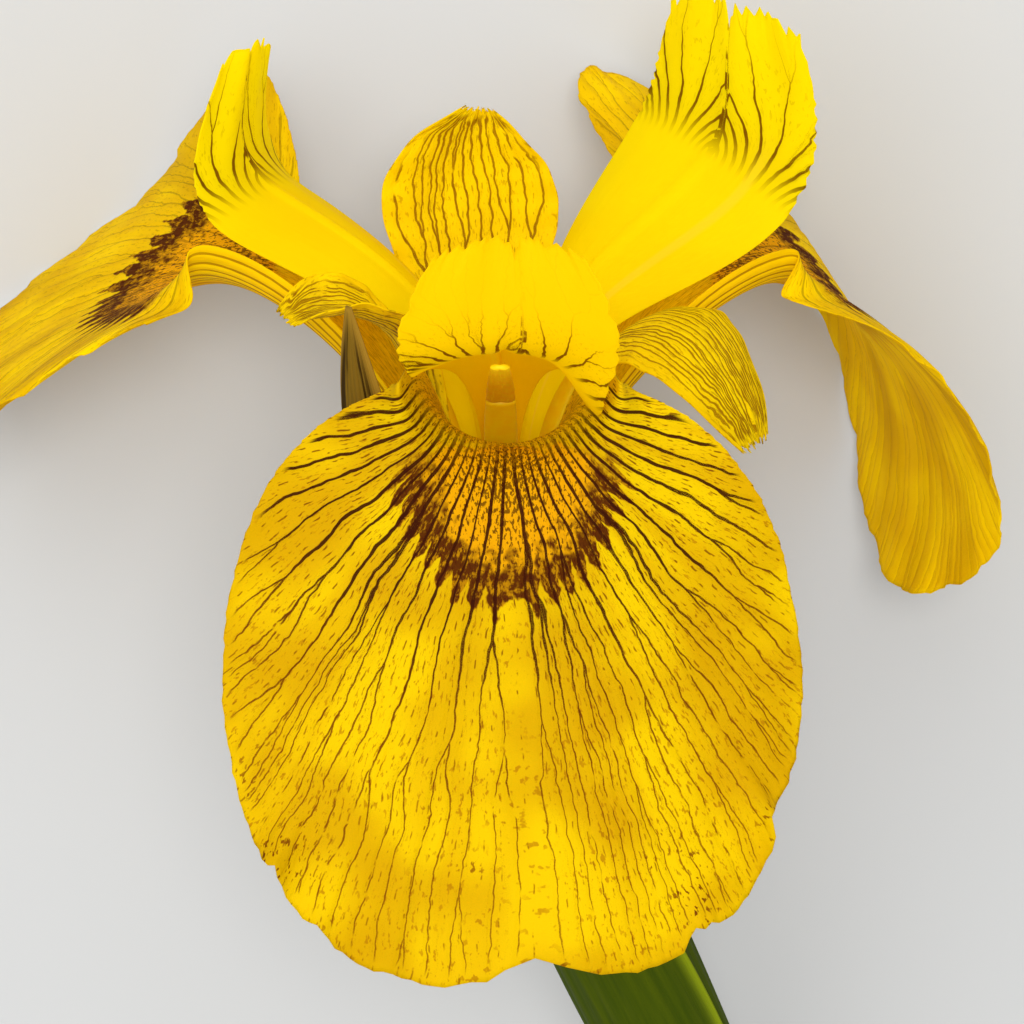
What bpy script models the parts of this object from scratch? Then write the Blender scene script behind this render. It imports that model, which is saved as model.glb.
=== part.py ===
"""Iris flower, cut with its stem and laid on its back.

The flower is modelled upright in its own frame, in millimetres: +Z runs up the flower's axis, the
top of the perianth tube is at the origin, and the front fall points to -Y. One empty then turns the
whole flower onto its back, so that it rests on its two side falls and the cut end of its stem, and
puts the middle of its underside at the world's origin.
"""
from math import cos, pi, radians, sin

import bpy
import numpy as np
from mathutils import Matrix

MM = 0.001

# Driving dimensions, millimetres and degrees.
PETAL_THICKNESS = 0.55
SPATHE_THICKNESS = 0.6
SEAT_GAP = 0.3
BASE_RING_RADIUS = 4.2
FALL_BASE_HALF_ARC = 38.0
WING_REACH = 24.0
WING_LOSS = 0.85
WING_CURL = 1.3
BEND_LENGTH = 45.0
BLADE_SHARES = (0.30, 0.62, 0.86, 1.0)
CENTRE_LINE_STEP, CENTRE_LINE_STEPS = 0.25, 240
COLLAR_WIDENING = 1.14
COLLAR_DEPTH_SHARE = 0.98
TUBE_TOP_GAP = 0.5
TUBE_LENGTH = 11.5
OVARY_LENGTH = 27.0
STALK_LENGTH = 142.0
HEAD_RAISE = 7.499
SIDE_ROLL = 2.89

FALL_ROWS, FALL_COLUMNS = 17, 21
STANDARD_ROWS, STANDARD_COLUMNS = 13, 9
STYLE_ROWS, STYLE_COLUMNS = 16, 9
SPATHE_ROWS, SPATHE_COLUMNS = 20, 11
ROUND_SIDES = 12
STAMEN_RINGS, TUBE_RINGS, OVARY_RINGS, STEM_RINGS = 9, 8, 14, 30
STALK_LINE_POINTS = 400
OVARY_LOBES = 0.06
PIECE_ROUGHNESS = 0.45

# Falls. crest is the top of the haft's arch as (out, up). Each haft row is (out, up, slope down,
# share of the channel's width, share of its depth). The blade starts at the crest, slopes down by
# slope, droops by bend over BEND_LENGTH, and turns about its own length from roll to roll + turn.
# wings lift the two sides, less and less down the blade; lobe swells one shoulder of the margin:
# (fan angle, spread, sideways, down, lift). half_width, half_length and centre set the margin,
# wrap how far round the throat it reaches on each side, squareness how square its shoulders are,
# side_radius how much its face bows from side to side.
FALLS = {
    "fall_front": dict(azimuth=-90, crest=(27.5, 18.8), shift=0.8,
                       haft=((6.5, 7.0, -62, 0.42, 0.35), (13.5, 14.5, -45, 0.78, 0.8),
                             (21.5, 18.4, -18, 1.0, 1.0)),
                       channel=8.0, depth=7.6, slope=62, bend=6, swing=8, roll=0, turn=0,
                       half_width=24.5, half_length=25.4, centre=18.0, wrap=(164, 164),
                       squareness=0.66, side_radius=130, wings=(0, 0), lobe=(0, 30, 0, 0, 0)),
    "fall_left": dict(azimuth=150, crest=(29.5, 20.0), shift=0,
                      haft=((7.0, 6.5, -60, 0.42, 0.35), (14.5, 15.3, -42, 0.78, 0.8),
                            (23.5, 20.0, -18, 1.0, 1.0)),
                      channel=7.2, depth=6.0, slope=15, bend=36, swing=0, roll=-8, turn=-14,
                      half_width=21, half_length=25, centre=18.5, wrap=(163, 140),
                      squareness=0.9, side_radius=90, wings=(16, 5), lobe=(-126, 22, -2, 0, 4)),
    "fall_right": dict(azimuth=30, crest=(28.0, 20.5), shift=0,
                       haft=((7.0, 7.0, -60, 0.42, 0.35), (14.5, 15.5, -42, 0.78, 0.8),
                             (23.0, 20.1, -18, 1.0, 1.0)),
                       channel=7.2, depth=5.4, slope=14, bend=104, swing=-5, roll=0, turn=8,
                       half_width=20.5, half_length=26.5, centre=19.0, wrap=(150, 165),
                       squareness=0.9, side_radius=90, wings=(2, 12), lobe=(146, 30, 14, -4, -1.5)),
}

# Standards and style arms. Each station is (out, sideways, up, half width, cup, roll): cup is the
# half arc that the cross-section bends through, positive with its edges towards the flower's axis.
STANDARDS = {
    "standard_back": (90, ((4.2, 0, 0, 1.1, -15, 0), (7.0, 0, 8, 1.5, 20, 0), (11.8, 1.5, 16.5, 4.6, 25, 0),
                           (15.4, 3, 25, 9.4, 20, 0), (15.2, 3, 31.8, 7.8, 20, 0),
                           (14.4, 2, 36, 1.0, 10, 0))),
    "standard_left": (210, ((4.2, 0, 0, 1.1, -15, 0), (6.0, 0, 8, 1.6, 20, 0), (8.5, 0, 18, 3.6, 45, 0),
                            (12, 0, 24, 5.8, 50, 0), (18, 0, 26, 5.2, 50, 0), (21.5, 0, 25, 1.6, 10, 0))),
    "standard_right": (330, ((4.2, 0, 0, 1.1, -15, 0), (6.0, 0, 10, 1.6, 20, 0), (10, 0, 21, 4.4, -20, 0),
                             (17, 0, 26, 8.5, -30, 0), (23, 0, 22.5, 7.5, -30, 0),
                             (26, 0, 14, 2.0, -10, 0))),
}
STYLE_ARMS = {
    "style_arm_front": (-90, ((1.8, 0, 0, 1.2, -50, 0), (1.8, 0, 9, 1.3, -50, 0), (4.5, 0, 18, 3.0, -50, 0),
                              (12, 0, 24, 5.6, -50, 0), (21, 0, 27.5, 7.6, -40, 0),
                              (26.5, 0.6, 28.0, 8.5, -30, 0), (27.5, 0.8, 32, 10.8, -25, 0),
                              (26, 0.8, 39, 5.0, -20, 0))),
    "style_arm_left": (150, ((1.8, 0, 0, 1.2, -50, 0), (1.8, 0, 9, 1.3, -50, 0), (4.5, 0, 18, 3.0, -50, 0),
                             (12, 0, 24, 5.6, -50, 0), (21, 0, 27.5, 7.2, -40, 0),
                             (27, 0, 29.5, 8.0, -30, 0), (28, 0, 34, 5.5, -25, 0),
                             (26, -1, 42.5, 3.5, -20, 0))),
    "style_arm_right": (30, ((1.8, 0, 0, 1.2, -50, 0), (1.8, 0, 9, 1.3, -50, 0), (4.0, 0, 18, 3.0, -50, 10),
                             (10, 0, 24.6, 6.4, -40, 20), (18, 0, 29.4, 9.0, -30, 25),
                             (23, 0, 33.0, 10, -20, 25), (24, 0, 38, 10, -15, 20),
                             (23.5, 0, 47, 7.0, -10, 15))),
}

# Stamens, in each style arm's own plane: (out, up) along the filament and along the anther.
FILAMENT_PATH = ((3.0, 0.0), (3.1, 6.0), (5.4, 12.0), (9.2, 17.0))
FILAMENT_RADII = ((0.8, 0.5), (1.3, 0.5), (1.5, 0.45), (0.9, 0.4))
ANTHER_PATH = ((9.5, 17.35), (13.5, 20.3), (19.0, 23.8), (25.2, 26.9))
ANTHER_RADII = ((1.4, 0.55), (1.7, 0.8), (1.2, 0.6), (0.6, 0.35))

# The stalk's centre line, from the tube's top down to the cut end.
STALK_POINTS = ((0, 0, 0), (0, 0, -8), (4, 2.4, -24), (11, 6, -44), (21, 10.5, -70),
                (32, 15, -98), (42, 19, -138))
# Radii along the stalk's pieces: (share of the piece's length from its top, radius).
TUBE_PROFILE = ((0, 4.7), (0.2, 4.4), (0.5, 3.3), (0.75, 2.9), (1, 2.8))
OVARY_PROFILE = ((0, 2.7), (0.1, 3.3), (0.32, 4.0), (0.58, 4.2), (0.8, 3.6), (0.95, 2.6), (1, 2.1))
STEM_PROFILE = ((0, 1.9), (0.04, 1.9), (0.2, 2.3), (0.3, 3.0), (0.34, 3.6), (0.375, 3.9), (0.415, 3.5),
                (0.49, 3.3), (0.74, 3.3), (1, 3.4))
# Spathes: (axis point, radius of the fold, half arc), with the keel turned to the given azimuth.
OUTER_SPATHE = (225, (((24.5, 12.0, -78.5), 4.9, 92), ((20.0, 10.1, -67.5), 6.6, 104),
                      ((14.5, 7.2, -53.0), 7.2, 104), ((8.0, 3.2, -36.0), 7.0, 92),
                      ((1.5, -1.5, -18.0), 6.0, 78), ((-4.5, -7.0, 0.0), 5.6, 60),
                      ((-8.3, -9.8, 13.0), 5.4, 48),
                      ((-9.2, -10.8, 20.5), 5.0, 36), ((-9.8, -10.8, 28.0), 4.4, 4)))
INNER_SPATHE = (45, (((24.5, 12.0, -78.5), 4.5, 76), ((20.0, 10.1, -67.5), 5.1, 86),
                     ((14.5, 7.2, -53.0), 5.6, 98), ((9.2, 4.6, -38.5), 5.4, 92),
                     ((5.0, 3.4, -25.0), 5.3, 74), ((3.0, 2.6, -12.0), 5.6, 44),
                     ((3.4, 2.8, -2.5), 5.6, 5)))

COLOURS = {
    "fall": (0.90, 0.60, 0.02), "standard": (0.88, 0.56, 0.02), "style": (0.95, 0.70, 0.03),
    "filament": (0.85, 0.62, 0.12), "anther": (0.62, 0.34, 0.05), "tube": (0.42, 0.46, 0.08),
    "ovary": (0.14, 0.26, 0.05), "spathe": (0.12, 0.22, 0.04), "stem": (0.10, 0.22, 0.04),
}


def clear_scene():
    for obj in list(bpy.data.objects):
        bpy.data.objects.remove(obj, do_unlink=True)


def make_material(name, colour, roughness):
    material = bpy.data.materials.new(name)
    material.use_nodes = True
    shader = material.node_tree.nodes["Principled BSDF"]
    shader.inputs["Base Color"].default_value = (*colour, 1.0)
    shader.inputs["Roughness"].default_value = roughness
    shader.inputs["Metallic"].default_value = 0.0
    return material


def smooth_rows(rows, count):
    """A clamped cubic B-spline through the control rows, read at count even parameters."""
    rows = np.asarray(rows, dtype=float)
    degree = min(3, len(rows) - 1)
    spans = len(rows) - degree
    knots = np.concatenate([np.zeros(degree), np.linspace(0, 1, spans + 1), np.ones(degree)])
    result = []
    for position in np.linspace(0, 1, count):
        position = min(position, 1 - 1e-9)
        span = int(np.searchsorted(knots, position, side="right")) - 1
        points = [rows[j + span - degree].copy() for j in range(degree + 1)]
        for level in range(1, degree + 1):
            for j in range(degree, level - 1, -1):
                low = knots[j + span - degree]
                share = (position - low) / (knots[j + span - level + 1] - low)
                points[j] = (1 - share) * points[j - 1] + share * points[j]
        result.append(points[degree])
    return np.array(result)


def turn_to_azimuth(points, azimuth):
    """Turns (out, sideways, up) points about the flower's axis."""
    angle = radians(azimuth)
    out = np.array([cos(angle), sin(angle), 0.0])
    side = np.array([-sin(angle), cos(angle), 0.0])
    up = np.array([0.0, 0.0, 1.0])
    return points[..., 0:1] * out + points[..., 1:2] * side + points[..., 2:3] * up


def blade_axes(slope, swing, roll):
    """Forward, sideways and upper-face directions of a petal that slopes down, swings and rolls."""
    slope, swing, roll = radians(slope), radians(swing), radians(roll)
    forward = np.array([cos(slope) * cos(swing), cos(slope) * sin(swing), -sin(slope)])
    level = np.array([-sin(swing), cos(swing), 0.0])
    face = np.cross(forward, level)
    return forward, level * cos(roll) + face * sin(roll), face * cos(roll) - level * sin(roll)


def blade_axes_at(fall, distance):
    share = max(distance, 0.0) / BEND_LENGTH
    return blade_axes(fall["slope"] + fall["bend"] * share, fall["swing"] * min(share * 4, 1),
                      fall["roll"] + fall["turn"] * share)


def blade_centre_line(fall, crest):
    """Distances down the blade's middle and the points there, which droop as it goes."""
    points = [crest]
    for index in range(CENTRE_LINE_STEPS):
        forward = blade_axes_at(fall, (index + 0.5) * CENTRE_LINE_STEP)[0]
        points.append(points[-1] + forward * CENTRE_LINE_STEP)
    return np.arange(len(points)) * CENTRE_LINE_STEP, np.array(points)


def blade_points(fall, line, sideways, down, lifts):
    distances, centres = line
    points = []
    for across, along, extra in zip(sideways, down, lifts):
        forward, side, face = blade_axes_at(fall, along)
        on_line = max(along, 0.0)
        centre = np.array([np.interp(on_line, distances, centres[:, k]) for k in range(3)])
        centre = centre + forward * min(along, 0.0)
        wing = fall["wings"][0 if across < 0 else 1] * (1 - WING_LOSS * min(on_line / WING_REACH, 1))
        lift = (extra + wing * (abs(across) / WING_REACH) ** WING_CURL
                - across ** 2 / (2 * fall["side_radius"]))
        points.append(centre + side * across + face * lift)
    return np.array(points)


def fall_grid(fall, row_count, column_count):
    """A fall from its base on the ring, up the channelled haft, over the crest and down the blade.

    Its columns fan out from the throat as the veins do, and its last row is the blade's margin.
    """
    across = np.linspace(-1, 1, column_count)
    arc = across * pi / 2
    base_arc = across * radians(FALL_BASE_HALF_ARC)
    rows = [np.stack([BASE_RING_RADIUS * np.cos(base_arc), BASE_RING_RADIUS * np.sin(base_arc),
                      0 * across], axis=1)]
    crest = np.array([fall["crest"][0], fall["shift"], fall["crest"][1]])
    for out, up, slope, width, depth in fall["haft"]:
        face = blade_axes(slope, 0, 0)[2]
        centre = np.array([out, fall["shift"] * (out / crest[0]), up])
        rows.append(centre + np.outer(fall["channel"] * width * np.sin(arc), (0, 1, 0))
                    + np.outer(fall["depth"] * depth * (1 - np.cos(arc)), face))
    collar_across = COLLAR_WIDENING * fall["channel"] * np.sin(arc)
    collar_up = COLLAR_DEPTH_SHARE * fall["depth"] * (1 - np.cos(arc))
    rows.append(crest + np.outer(collar_across, (0, 1, 0)) + np.outer(collar_up, (0, 0, 1)))
    fan = np.radians(np.where(across > 0, fall["wrap"][1], fall["wrap"][0])) * across
    margin_across = fall["half_width"] * np.sign(np.sin(fan)) * np.abs(np.sin(fan)) ** fall["squareness"]
    margin_down = fall["centre"] + fall["half_length"] * np.cos(fan)
    place, spread, more_across, more_down, more_lift = fall["lobe"]
    swell = np.exp(-((np.degrees(fan) - place) / spread) ** 2)
    line = blade_centre_line(fall, crest)
    for share in BLADE_SHARES:
        part_swell = swell * share ** 2
        sideways = collar_across + (margin_across - collar_across) * share + more_across * part_swell
        down = -collar_up + (margin_down + collar_up) * share + more_down * part_swell
        rows.append(blade_points(fall, line, sideways, down, more_lift * part_swell))
    return turn_to_azimuth(smooth_rows(rows, row_count), fall["azimuth"])


def strip_grid(azimuth, stations, row_count, column_count):
    """A petal-like strip along its stations' centre line, each cross-section bent by its cup."""
    across = np.linspace(-1, 1, column_count)
    stations = np.array(stations, dtype=float)
    centres = stations[:, :3]
    tangents = np.gradient(centres, axis=0)
    rows = []
    for centre, tangent, (half_width, cup, roll) in zip(centres, tangents, stations[:, 3:]):
        tangent = tangent / np.linalg.norm(tangent)
        side = np.array([0.0, 1.0, 0.0]) - tangent * tangent[1]
        side = side / np.linalg.norm(side)
        face = np.cross(tangent, side)
        roll, cup = radians(roll), radians(cup)
        rolled_side = side * cos(roll) + face * sin(roll)
        rolled_face = face * cos(roll) - side * sin(roll)
        rows.append(centre + np.outer(half_width * np.sin(cup * across) / cup, rolled_side)
                    + np.outer(half_width * (1 - np.cos(cup * across)) / cup, rolled_face))
    return turn_to_azimuth(smooth_rows(rows, row_count), azimuth)


def sheath_grid(keel_azimuth, stations, row_count, column_count):
    """A folded sheath round its own axis, with its keel towards keel_azimuth."""
    across = np.linspace(-1, 1, column_count)
    centres = np.array([station[0] for station in stations], dtype=float)
    tangents = np.gradient(centres, axis=0)
    angle = radians(keel_azimuth)
    keel = np.array([cos(angle), sin(angle), 0.0])
    rows = []
    for centre, tangent, (_, radius, half_arc) in zip(centres, tangents, stations):
        tangent = tangent / np.linalg.norm(tangent)
        outward = keel - tangent * (keel @ tangent)
        outward = outward / np.linalg.norm(outward)
        side = np.cross(tangent, outward)
        arc = radians(half_arc) * across
        rows.append(centre + np.outer(radius * np.cos(arc), outward)
                    + np.outer(radius * np.sin(arc), side))
    return smooth_rows(rows, row_count)


def stalk_line():
    """The stalk's centre line as distances from the tube's top and the points there."""
    points = smooth_rows(STALK_POINTS, STALK_LINE_POINTS)
    steps = np.linalg.norm(np.diff(points, axis=0), axis=1)
    return np.concatenate([[0.0], np.cumsum(steps)]), points


def stalk_axes(line, distance):
    distances, points = line
    centre = np.array([np.interp(distance, distances, points[:, k]) for k in range(3)])
    ahead = np.array([np.interp(distance + 1.0, distances, points[:, k]) for k in range(3)])
    behind = np.array([np.interp(distance - 1.0, distances, points[:, k]) for k in range(3)])
    tangent = (ahead - behind) / np.linalg.norm(ahead - behind)
    side = np.cross(tangent, (0.0, 1.0, 0.0))
    side = side / np.linalg.norm(side)
    return centre, side, np.cross(tangent, side)


def mesh_object(name, vertices, faces, material):
    mesh = bpy.data.meshes.new(name)
    mesh.from_pydata([tuple(MM * value for value in vertex) for vertex in vertices], [], faces)
    mesh.validate()
    mesh.materials.append(material)
    mesh.shade_smooth()
    obj = bpy.data.objects.new(name, mesh)
    bpy.context.scene.collection.objects.link(obj)
    return obj


def add_sheet(name, grid, thickness, material):
    """A grid of points as a sheet, thickened about its middle."""
    row_count, column_count = grid.shape[:2]
    faces = []
    for i in range(row_count - 1):
        for j in range(column_count - 1):
            corner = i * column_count + j
            faces.append((corner, corner + 1, corner + column_count + 1, corner + column_count))
    sheet = mesh_object(name, grid.reshape(-1, 3), faces, material)
    solidify = sheet.modifiers.new("thickness", "SOLIDIFY")
    solidify.thickness = thickness * MM
    solidify.offset = 0.0
    solidify.use_even_offset = False
    return sheet


def add_loft(name, rings, material):
    """A closed solid through rings of points, capped flat at both ends."""
    rings = np.asarray(rings)
    ring_count, sides = rings.shape[:2]
    faces = []
    for i in range(ring_count - 1):
        for j in range(sides):
            right = (j + 1) % sides
            faces.append((i * sides + j, i * sides + right, (i + 1) * sides + right, (i + 1) * sides + j))
    faces.append(tuple(reversed(range(sides))))
    faces.append(tuple((ring_count - 1) * sides + j for j in range(sides)))
    return mesh_object(name, rings.reshape(-1, 3), faces, material)


def ring_points(centre, side, face, side_radius, face_radius, lobes=0.0):
    angles = np.arange(ROUND_SIDES) * 2 * pi / ROUND_SIDES
    swell = 1 + lobes * np.cos(3 * angles)
    return (centre + np.outer(side_radius * swell * np.cos(angles), side)
            + np.outer(face_radius * swell * np.sin(angles), face))


def stalk_rings(line, start, length, profile, ring_count, lobes=0.0):
    rings = []
    shares, radii = zip(*profile)
    for share in np.linspace(0, 1, ring_count):
        radius = np.interp(share, shares, radii)
        centre, side, face = stalk_axes(line, start + share * length)
        rings.append(ring_points(centre, side, face, radius, radius, lobes))
    return rings


def plane_path_rings(azimuth, path, radii, ring_count):
    """Rings along a path in the upright plane at azimuth, each wider across that plane."""
    points = smooth_rows([(out, 0.0, up) for out, up in path], ring_count)
    sizes = smooth_rows(radii, ring_count)
    tangents = np.gradient(points, axis=0)
    rings = []
    for index, (point, tangent, size) in enumerate(zip(points, tangents, sizes)):
        tangent = np.array([0.0, 0.0, 1.0]) if index == 0 and point[2] == 0 else tangent
        tangent = tangent / np.linalg.norm(tangent)
        side = np.array([0.0, 1.0, 0.0])
        face = np.cross(tangent, side)
        rings.append(ring_points(point, side, face, size[0], size[1]))
    return turn_to_azimuth(np.array(rings), azimuth)


def add_petals(materials):
    pieces = []
    for name, fall in FALLS.items():
        grid = fall_grid(fall, FALL_ROWS, FALL_COLUMNS)
        pieces.append(add_sheet(name, grid, PETAL_THICKNESS, materials["fall"]))
    for name, (azimuth, stations) in STANDARDS.items():
        grid = strip_grid(azimuth, stations, STANDARD_ROWS, STANDARD_COLUMNS)
        pieces.append(add_sheet(name, grid, PETAL_THICKNESS, materials["standard"]))
    for name, (azimuth, stations) in STYLE_ARMS.items():
        grid = strip_grid(azimuth, stations, STYLE_ROWS, STYLE_COLUMNS)
        pieces.append(add_sheet(name, grid, PETAL_THICKNESS, materials["style"]))
    return pieces


def add_stamens(materials):
    pieces = []
    for side in ("front", "left", "right"):
        azimuth = FALLS["fall_" + side]["azimuth"]
        rings = plane_path_rings(azimuth, FILAMENT_PATH, FILAMENT_RADII, STAMEN_RINGS)
        pieces.append(add_loft("filament_" + side, rings, materials["filament"]))
        rings = plane_path_rings(azimuth, ANTHER_PATH, ANTHER_RADII, STAMEN_RINGS)
        pieces.append(add_loft("anther_" + side, rings, materials["anther"]))
    return pieces


def add_stalk(materials):
    line = stalk_line()
    ovary_start = TUBE_TOP_GAP + TUBE_LENGTH + SEAT_GAP
    stem_start = ovary_start + OVARY_LENGTH + SEAT_GAP
    tube = stalk_rings(line, TUBE_TOP_GAP, TUBE_LENGTH, TUBE_PROFILE, TUBE_RINGS)
    ovary = stalk_rings(line, ovary_start, OVARY_LENGTH, OVARY_PROFILE, OVARY_RINGS, OVARY_LOBES)
    stem = stalk_rings(line, stem_start, STALK_LENGTH - stem_start, STEM_PROFILE, STEM_RINGS)
    pieces = [add_loft("perianth_tube", tube, materials["tube"]),
              add_loft("ovary", ovary, materials["ovary"]),
              add_loft("stem", stem, materials["stem"])]
    for name, (azimuth, stations) in (("spathe_outer", OUTER_SPATHE), ("spathe_inner", INNER_SPATHE)):
        grid = sheath_grid(azimuth, stations, SPATHE_ROWS, SPATHE_COLUMNS)
        pieces.append(add_sheet(name, grid, SPATHE_THICKNESS, materials["spathe"]))
    return pieces


def face_outwards(pieces):
    """Turns a piece's faces over where its enclosed volume comes out negative."""
    for piece in pieces:
        if piece.modifiers:
            continue
        mesh = piece.data
        volume = 0.0
        for polygon in mesh.polygons:
            corners = [mesh.vertices[index].co for index in polygon.vertices]
            for second, third in zip(corners[1:-1], corners[2:]):
                volume += corners[0].dot(second.cross(third))
        if volume < 0:
            mesh.flip_normals()


def lay_down(pieces):
    """Lays the flower on its back and centres its underside on the world's origin."""
    turn = Matrix.Rotation(radians(SIDE_ROLL), 4, "Y") @ Matrix.Rotation(radians(HEAD_RAISE - 90), 4, "X")
    pose = bpy.data.objects.new("laid_flower", None)
    bpy.context.scene.collection.objects.link(pose)
    pose.matrix_world = turn
    for piece in pieces:
        piece.parent = pose
    bpy.context.view_layer.update()
    depsgraph = bpy.context.evaluated_depsgraph_get()
    corners = []
    for piece in pieces:
        evaluated = piece.evaluated_get(depsgraph)
        mesh = evaluated.to_mesh()
        points = np.empty(3 * len(mesh.vertices))
        mesh.vertices.foreach_get("co", points)
        matrix = np.array(evaluated.matrix_world)
        points = points.reshape(-1, 3) @ matrix[:3, :3].T + matrix[:3, 3]
        corners += [points.min(axis=0), points.max(axis=0)]
        evaluated.to_mesh_clear()
    low, high = np.min(corners, axis=0), np.max(corners, axis=0)
    shift = Matrix.Translation((-(low[0] + high[0]) / 2, -(low[1] + high[1]) / 2, -low[2]))
    pose.matrix_world = shift @ turn


def main():
    clear_scene()
    materials = {name: make_material("iris_" + name, colour, PIECE_ROUGHNESS)
                 for name, colour in COLOURS.items()}
    pieces = add_petals(materials) + add_stamens(materials) + add_stalk(materials)
    face_outwards(pieces)
    lay_down(pieces)


main()
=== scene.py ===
from math import cos, pi, radians, sin

import bpy
import numpy as np
from mathutils import Matrix, Vector


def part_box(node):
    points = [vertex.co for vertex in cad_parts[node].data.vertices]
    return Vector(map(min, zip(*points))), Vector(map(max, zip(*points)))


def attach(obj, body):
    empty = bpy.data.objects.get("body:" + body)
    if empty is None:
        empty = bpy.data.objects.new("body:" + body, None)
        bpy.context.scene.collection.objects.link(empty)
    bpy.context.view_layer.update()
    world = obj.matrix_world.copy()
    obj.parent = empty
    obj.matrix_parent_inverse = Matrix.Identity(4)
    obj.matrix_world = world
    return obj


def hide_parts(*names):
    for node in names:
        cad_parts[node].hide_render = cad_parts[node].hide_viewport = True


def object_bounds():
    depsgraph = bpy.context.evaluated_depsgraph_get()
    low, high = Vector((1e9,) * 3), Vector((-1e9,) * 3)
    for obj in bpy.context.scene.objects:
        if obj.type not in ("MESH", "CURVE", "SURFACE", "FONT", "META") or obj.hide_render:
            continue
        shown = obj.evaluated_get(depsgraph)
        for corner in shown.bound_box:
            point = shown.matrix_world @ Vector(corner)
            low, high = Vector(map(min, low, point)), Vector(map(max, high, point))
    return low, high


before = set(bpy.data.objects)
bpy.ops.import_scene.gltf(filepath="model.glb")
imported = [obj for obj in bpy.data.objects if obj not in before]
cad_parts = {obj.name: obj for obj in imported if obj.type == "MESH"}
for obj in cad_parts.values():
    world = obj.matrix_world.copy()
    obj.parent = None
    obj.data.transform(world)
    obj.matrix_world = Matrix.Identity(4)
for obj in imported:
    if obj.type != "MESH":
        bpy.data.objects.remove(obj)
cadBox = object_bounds()
mm = 0.001

# The flower is shaped upright in its own frame, in millimetres: z up its axis, front fall to -y.
# It is then laid on its back, its head raised and rolled by these angles in degrees.
pose = dict(headRaise=7.499, sideRoll=2.89)
seedStep = 7.0  # keeps the marks of the pieces apart
turn = np.array(Matrix.Rotation(radians(pose["sideRoll"]), 3, "Y")
                @ Matrix.Rotation(radians(pose["headRaise"] - 90), 3, "X"))


def smoothRows(rows, count):
    # clamped cubic B-spline through the control rows
    rows = np.asarray(rows, dtype=float)
    degree = min(3, len(rows) - 1)
    spans = len(rows) - degree
    knots = np.concatenate([np.zeros(degree), np.linspace(0, 1, spans + 1), np.ones(degree)])
    result = []
    for position in np.linspace(0, 1, count):
        position = min(position, 1 - 1e-9)
        span = int(np.searchsorted(knots, position, side="right")) - 1
        points = [rows[j + span - degree].copy() for j in range(degree + 1)]
        for level in range(1, degree + 1):
            for j in range(degree, level - 1, -1):
                low = knots[j + span - degree]
                share = (position - low) / (knots[j + span - level + 1] - low)
                points[j] = (1 - share) * points[j - 1] + share * points[j]
        result.append(points[degree])
    return np.array(result)


def smoothStep(low, high, value):
    share = np.clip((value - low) / (high - low), 0, 1)
    return share * share * (3 - 2 * share)


def turnToAzimuth(points, azimuth):
    # (out, sideways, up) points turned about the flower's axis
    angle = radians(azimuth)
    out = np.array([cos(angle), sin(angle), 0.0])
    side = np.array([-sin(angle), cos(angle), 0.0])
    up = np.array([0.0, 0.0, 1.0])
    return points[..., 0:1] * out + points[..., 1:2] * side + points[..., 2:3] * up


def waveSum(values, seed, waves):
    # a smooth random curve with the given numbers of waves over the range 0 to 1
    rng = np.random.default_rng(seed)
    total = np.zeros_like(values)
    for count in waves:
        total += np.sin(2 * pi * count * values + rng.uniform(0, 2 * pi)) * rng.uniform(0.6, 1.0)
    return total / len(waves)


def gridNormals(points):
    along = np.gradient(points, axis=0)
    across = np.gradient(points, axis=1)
    normals = np.cross(along, across)
    lengths = np.linalg.norm(normals, axis=2, keepdims=True)
    return normals / np.maximum(lengths, 1e-9), along, across


# profiles: (share of the length, radius)
stalk = dict(
    points=((0, 0, 0), (0, 0, -8), (4, 2.4, -24), (11, 6, -44), (21, 10.5, -70),
            (32, 15, -98), (42, 19, -138)),
    tubeTop=0.5, tubeLength=11.5, seatGap=0.3, ovaryLength=27.0, length=142.0,
    tube=((0, 4.7), (0.2, 4.4), (0.5, 3.3), (0.75, 2.9), (1, 2.8)),
    ovary=((0, 2.7), (0.1, 3.3), (0.32, 4.0), (0.58, 4.2), (0.8, 3.6), (0.95, 2.6), (1, 2.1)),
    stem=((0, 1.9), (0.04, 1.9), (0.2, 2.3), (0.3, 3.0), (0.34, 3.6), (0.375, 3.9), (0.415, 3.5),
          (0.49, 3.3), (0.74, 3.3), (1, 3.4)))


def stalkLine():
    points = smoothRows(stalk["points"], 400)
    steps = np.linalg.norm(np.diff(points, axis=0), axis=1)
    return np.concatenate([[0.0], np.cumsum(steps)]), points


def stalkAxes(line, distance):
    # the place, and two directions square to the line there
    distances, points = line

    def read(at):
        return np.array([np.interp(at, distances, points[:, k]) for k in range(3)])

    tangent = read(distance + 1.0) - read(distance - 1.0)
    tangent = tangent / np.linalg.norm(tangent)
    side = np.cross(tangent, (0.0, 1.0, 0.0))
    side = side / np.linalg.norm(side)
    return read(distance), side, np.cross(tangent, side)


def stalkRings(line, start, length, profile, ringCount, sides, lobes=0.0, ribs=None):
    # lobes is the depth of three lobes as a share of the radius; ribs = (how many, depth in mm)
    rings = []
    shares, radii = zip(*profile)
    angles = np.arange(sides) * 2 * pi / sides
    for share in np.linspace(0, 1, ringCount):
        centre, side, face = stalkAxes(line, start + share * length)
        swell = np.interp(share, shares, radii) * (1 + lobes * np.cos(3 * angles))
        if ribs:
            swell = swell + ribs[1] * np.cos(ribs[0] * angles + 0.6 * sin(9 * share))
        rings.append(centre + np.outer(swell * np.cos(angles), side)
                     + np.outer(swell * np.sin(angles), face))
    return np.array(rings)


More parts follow.
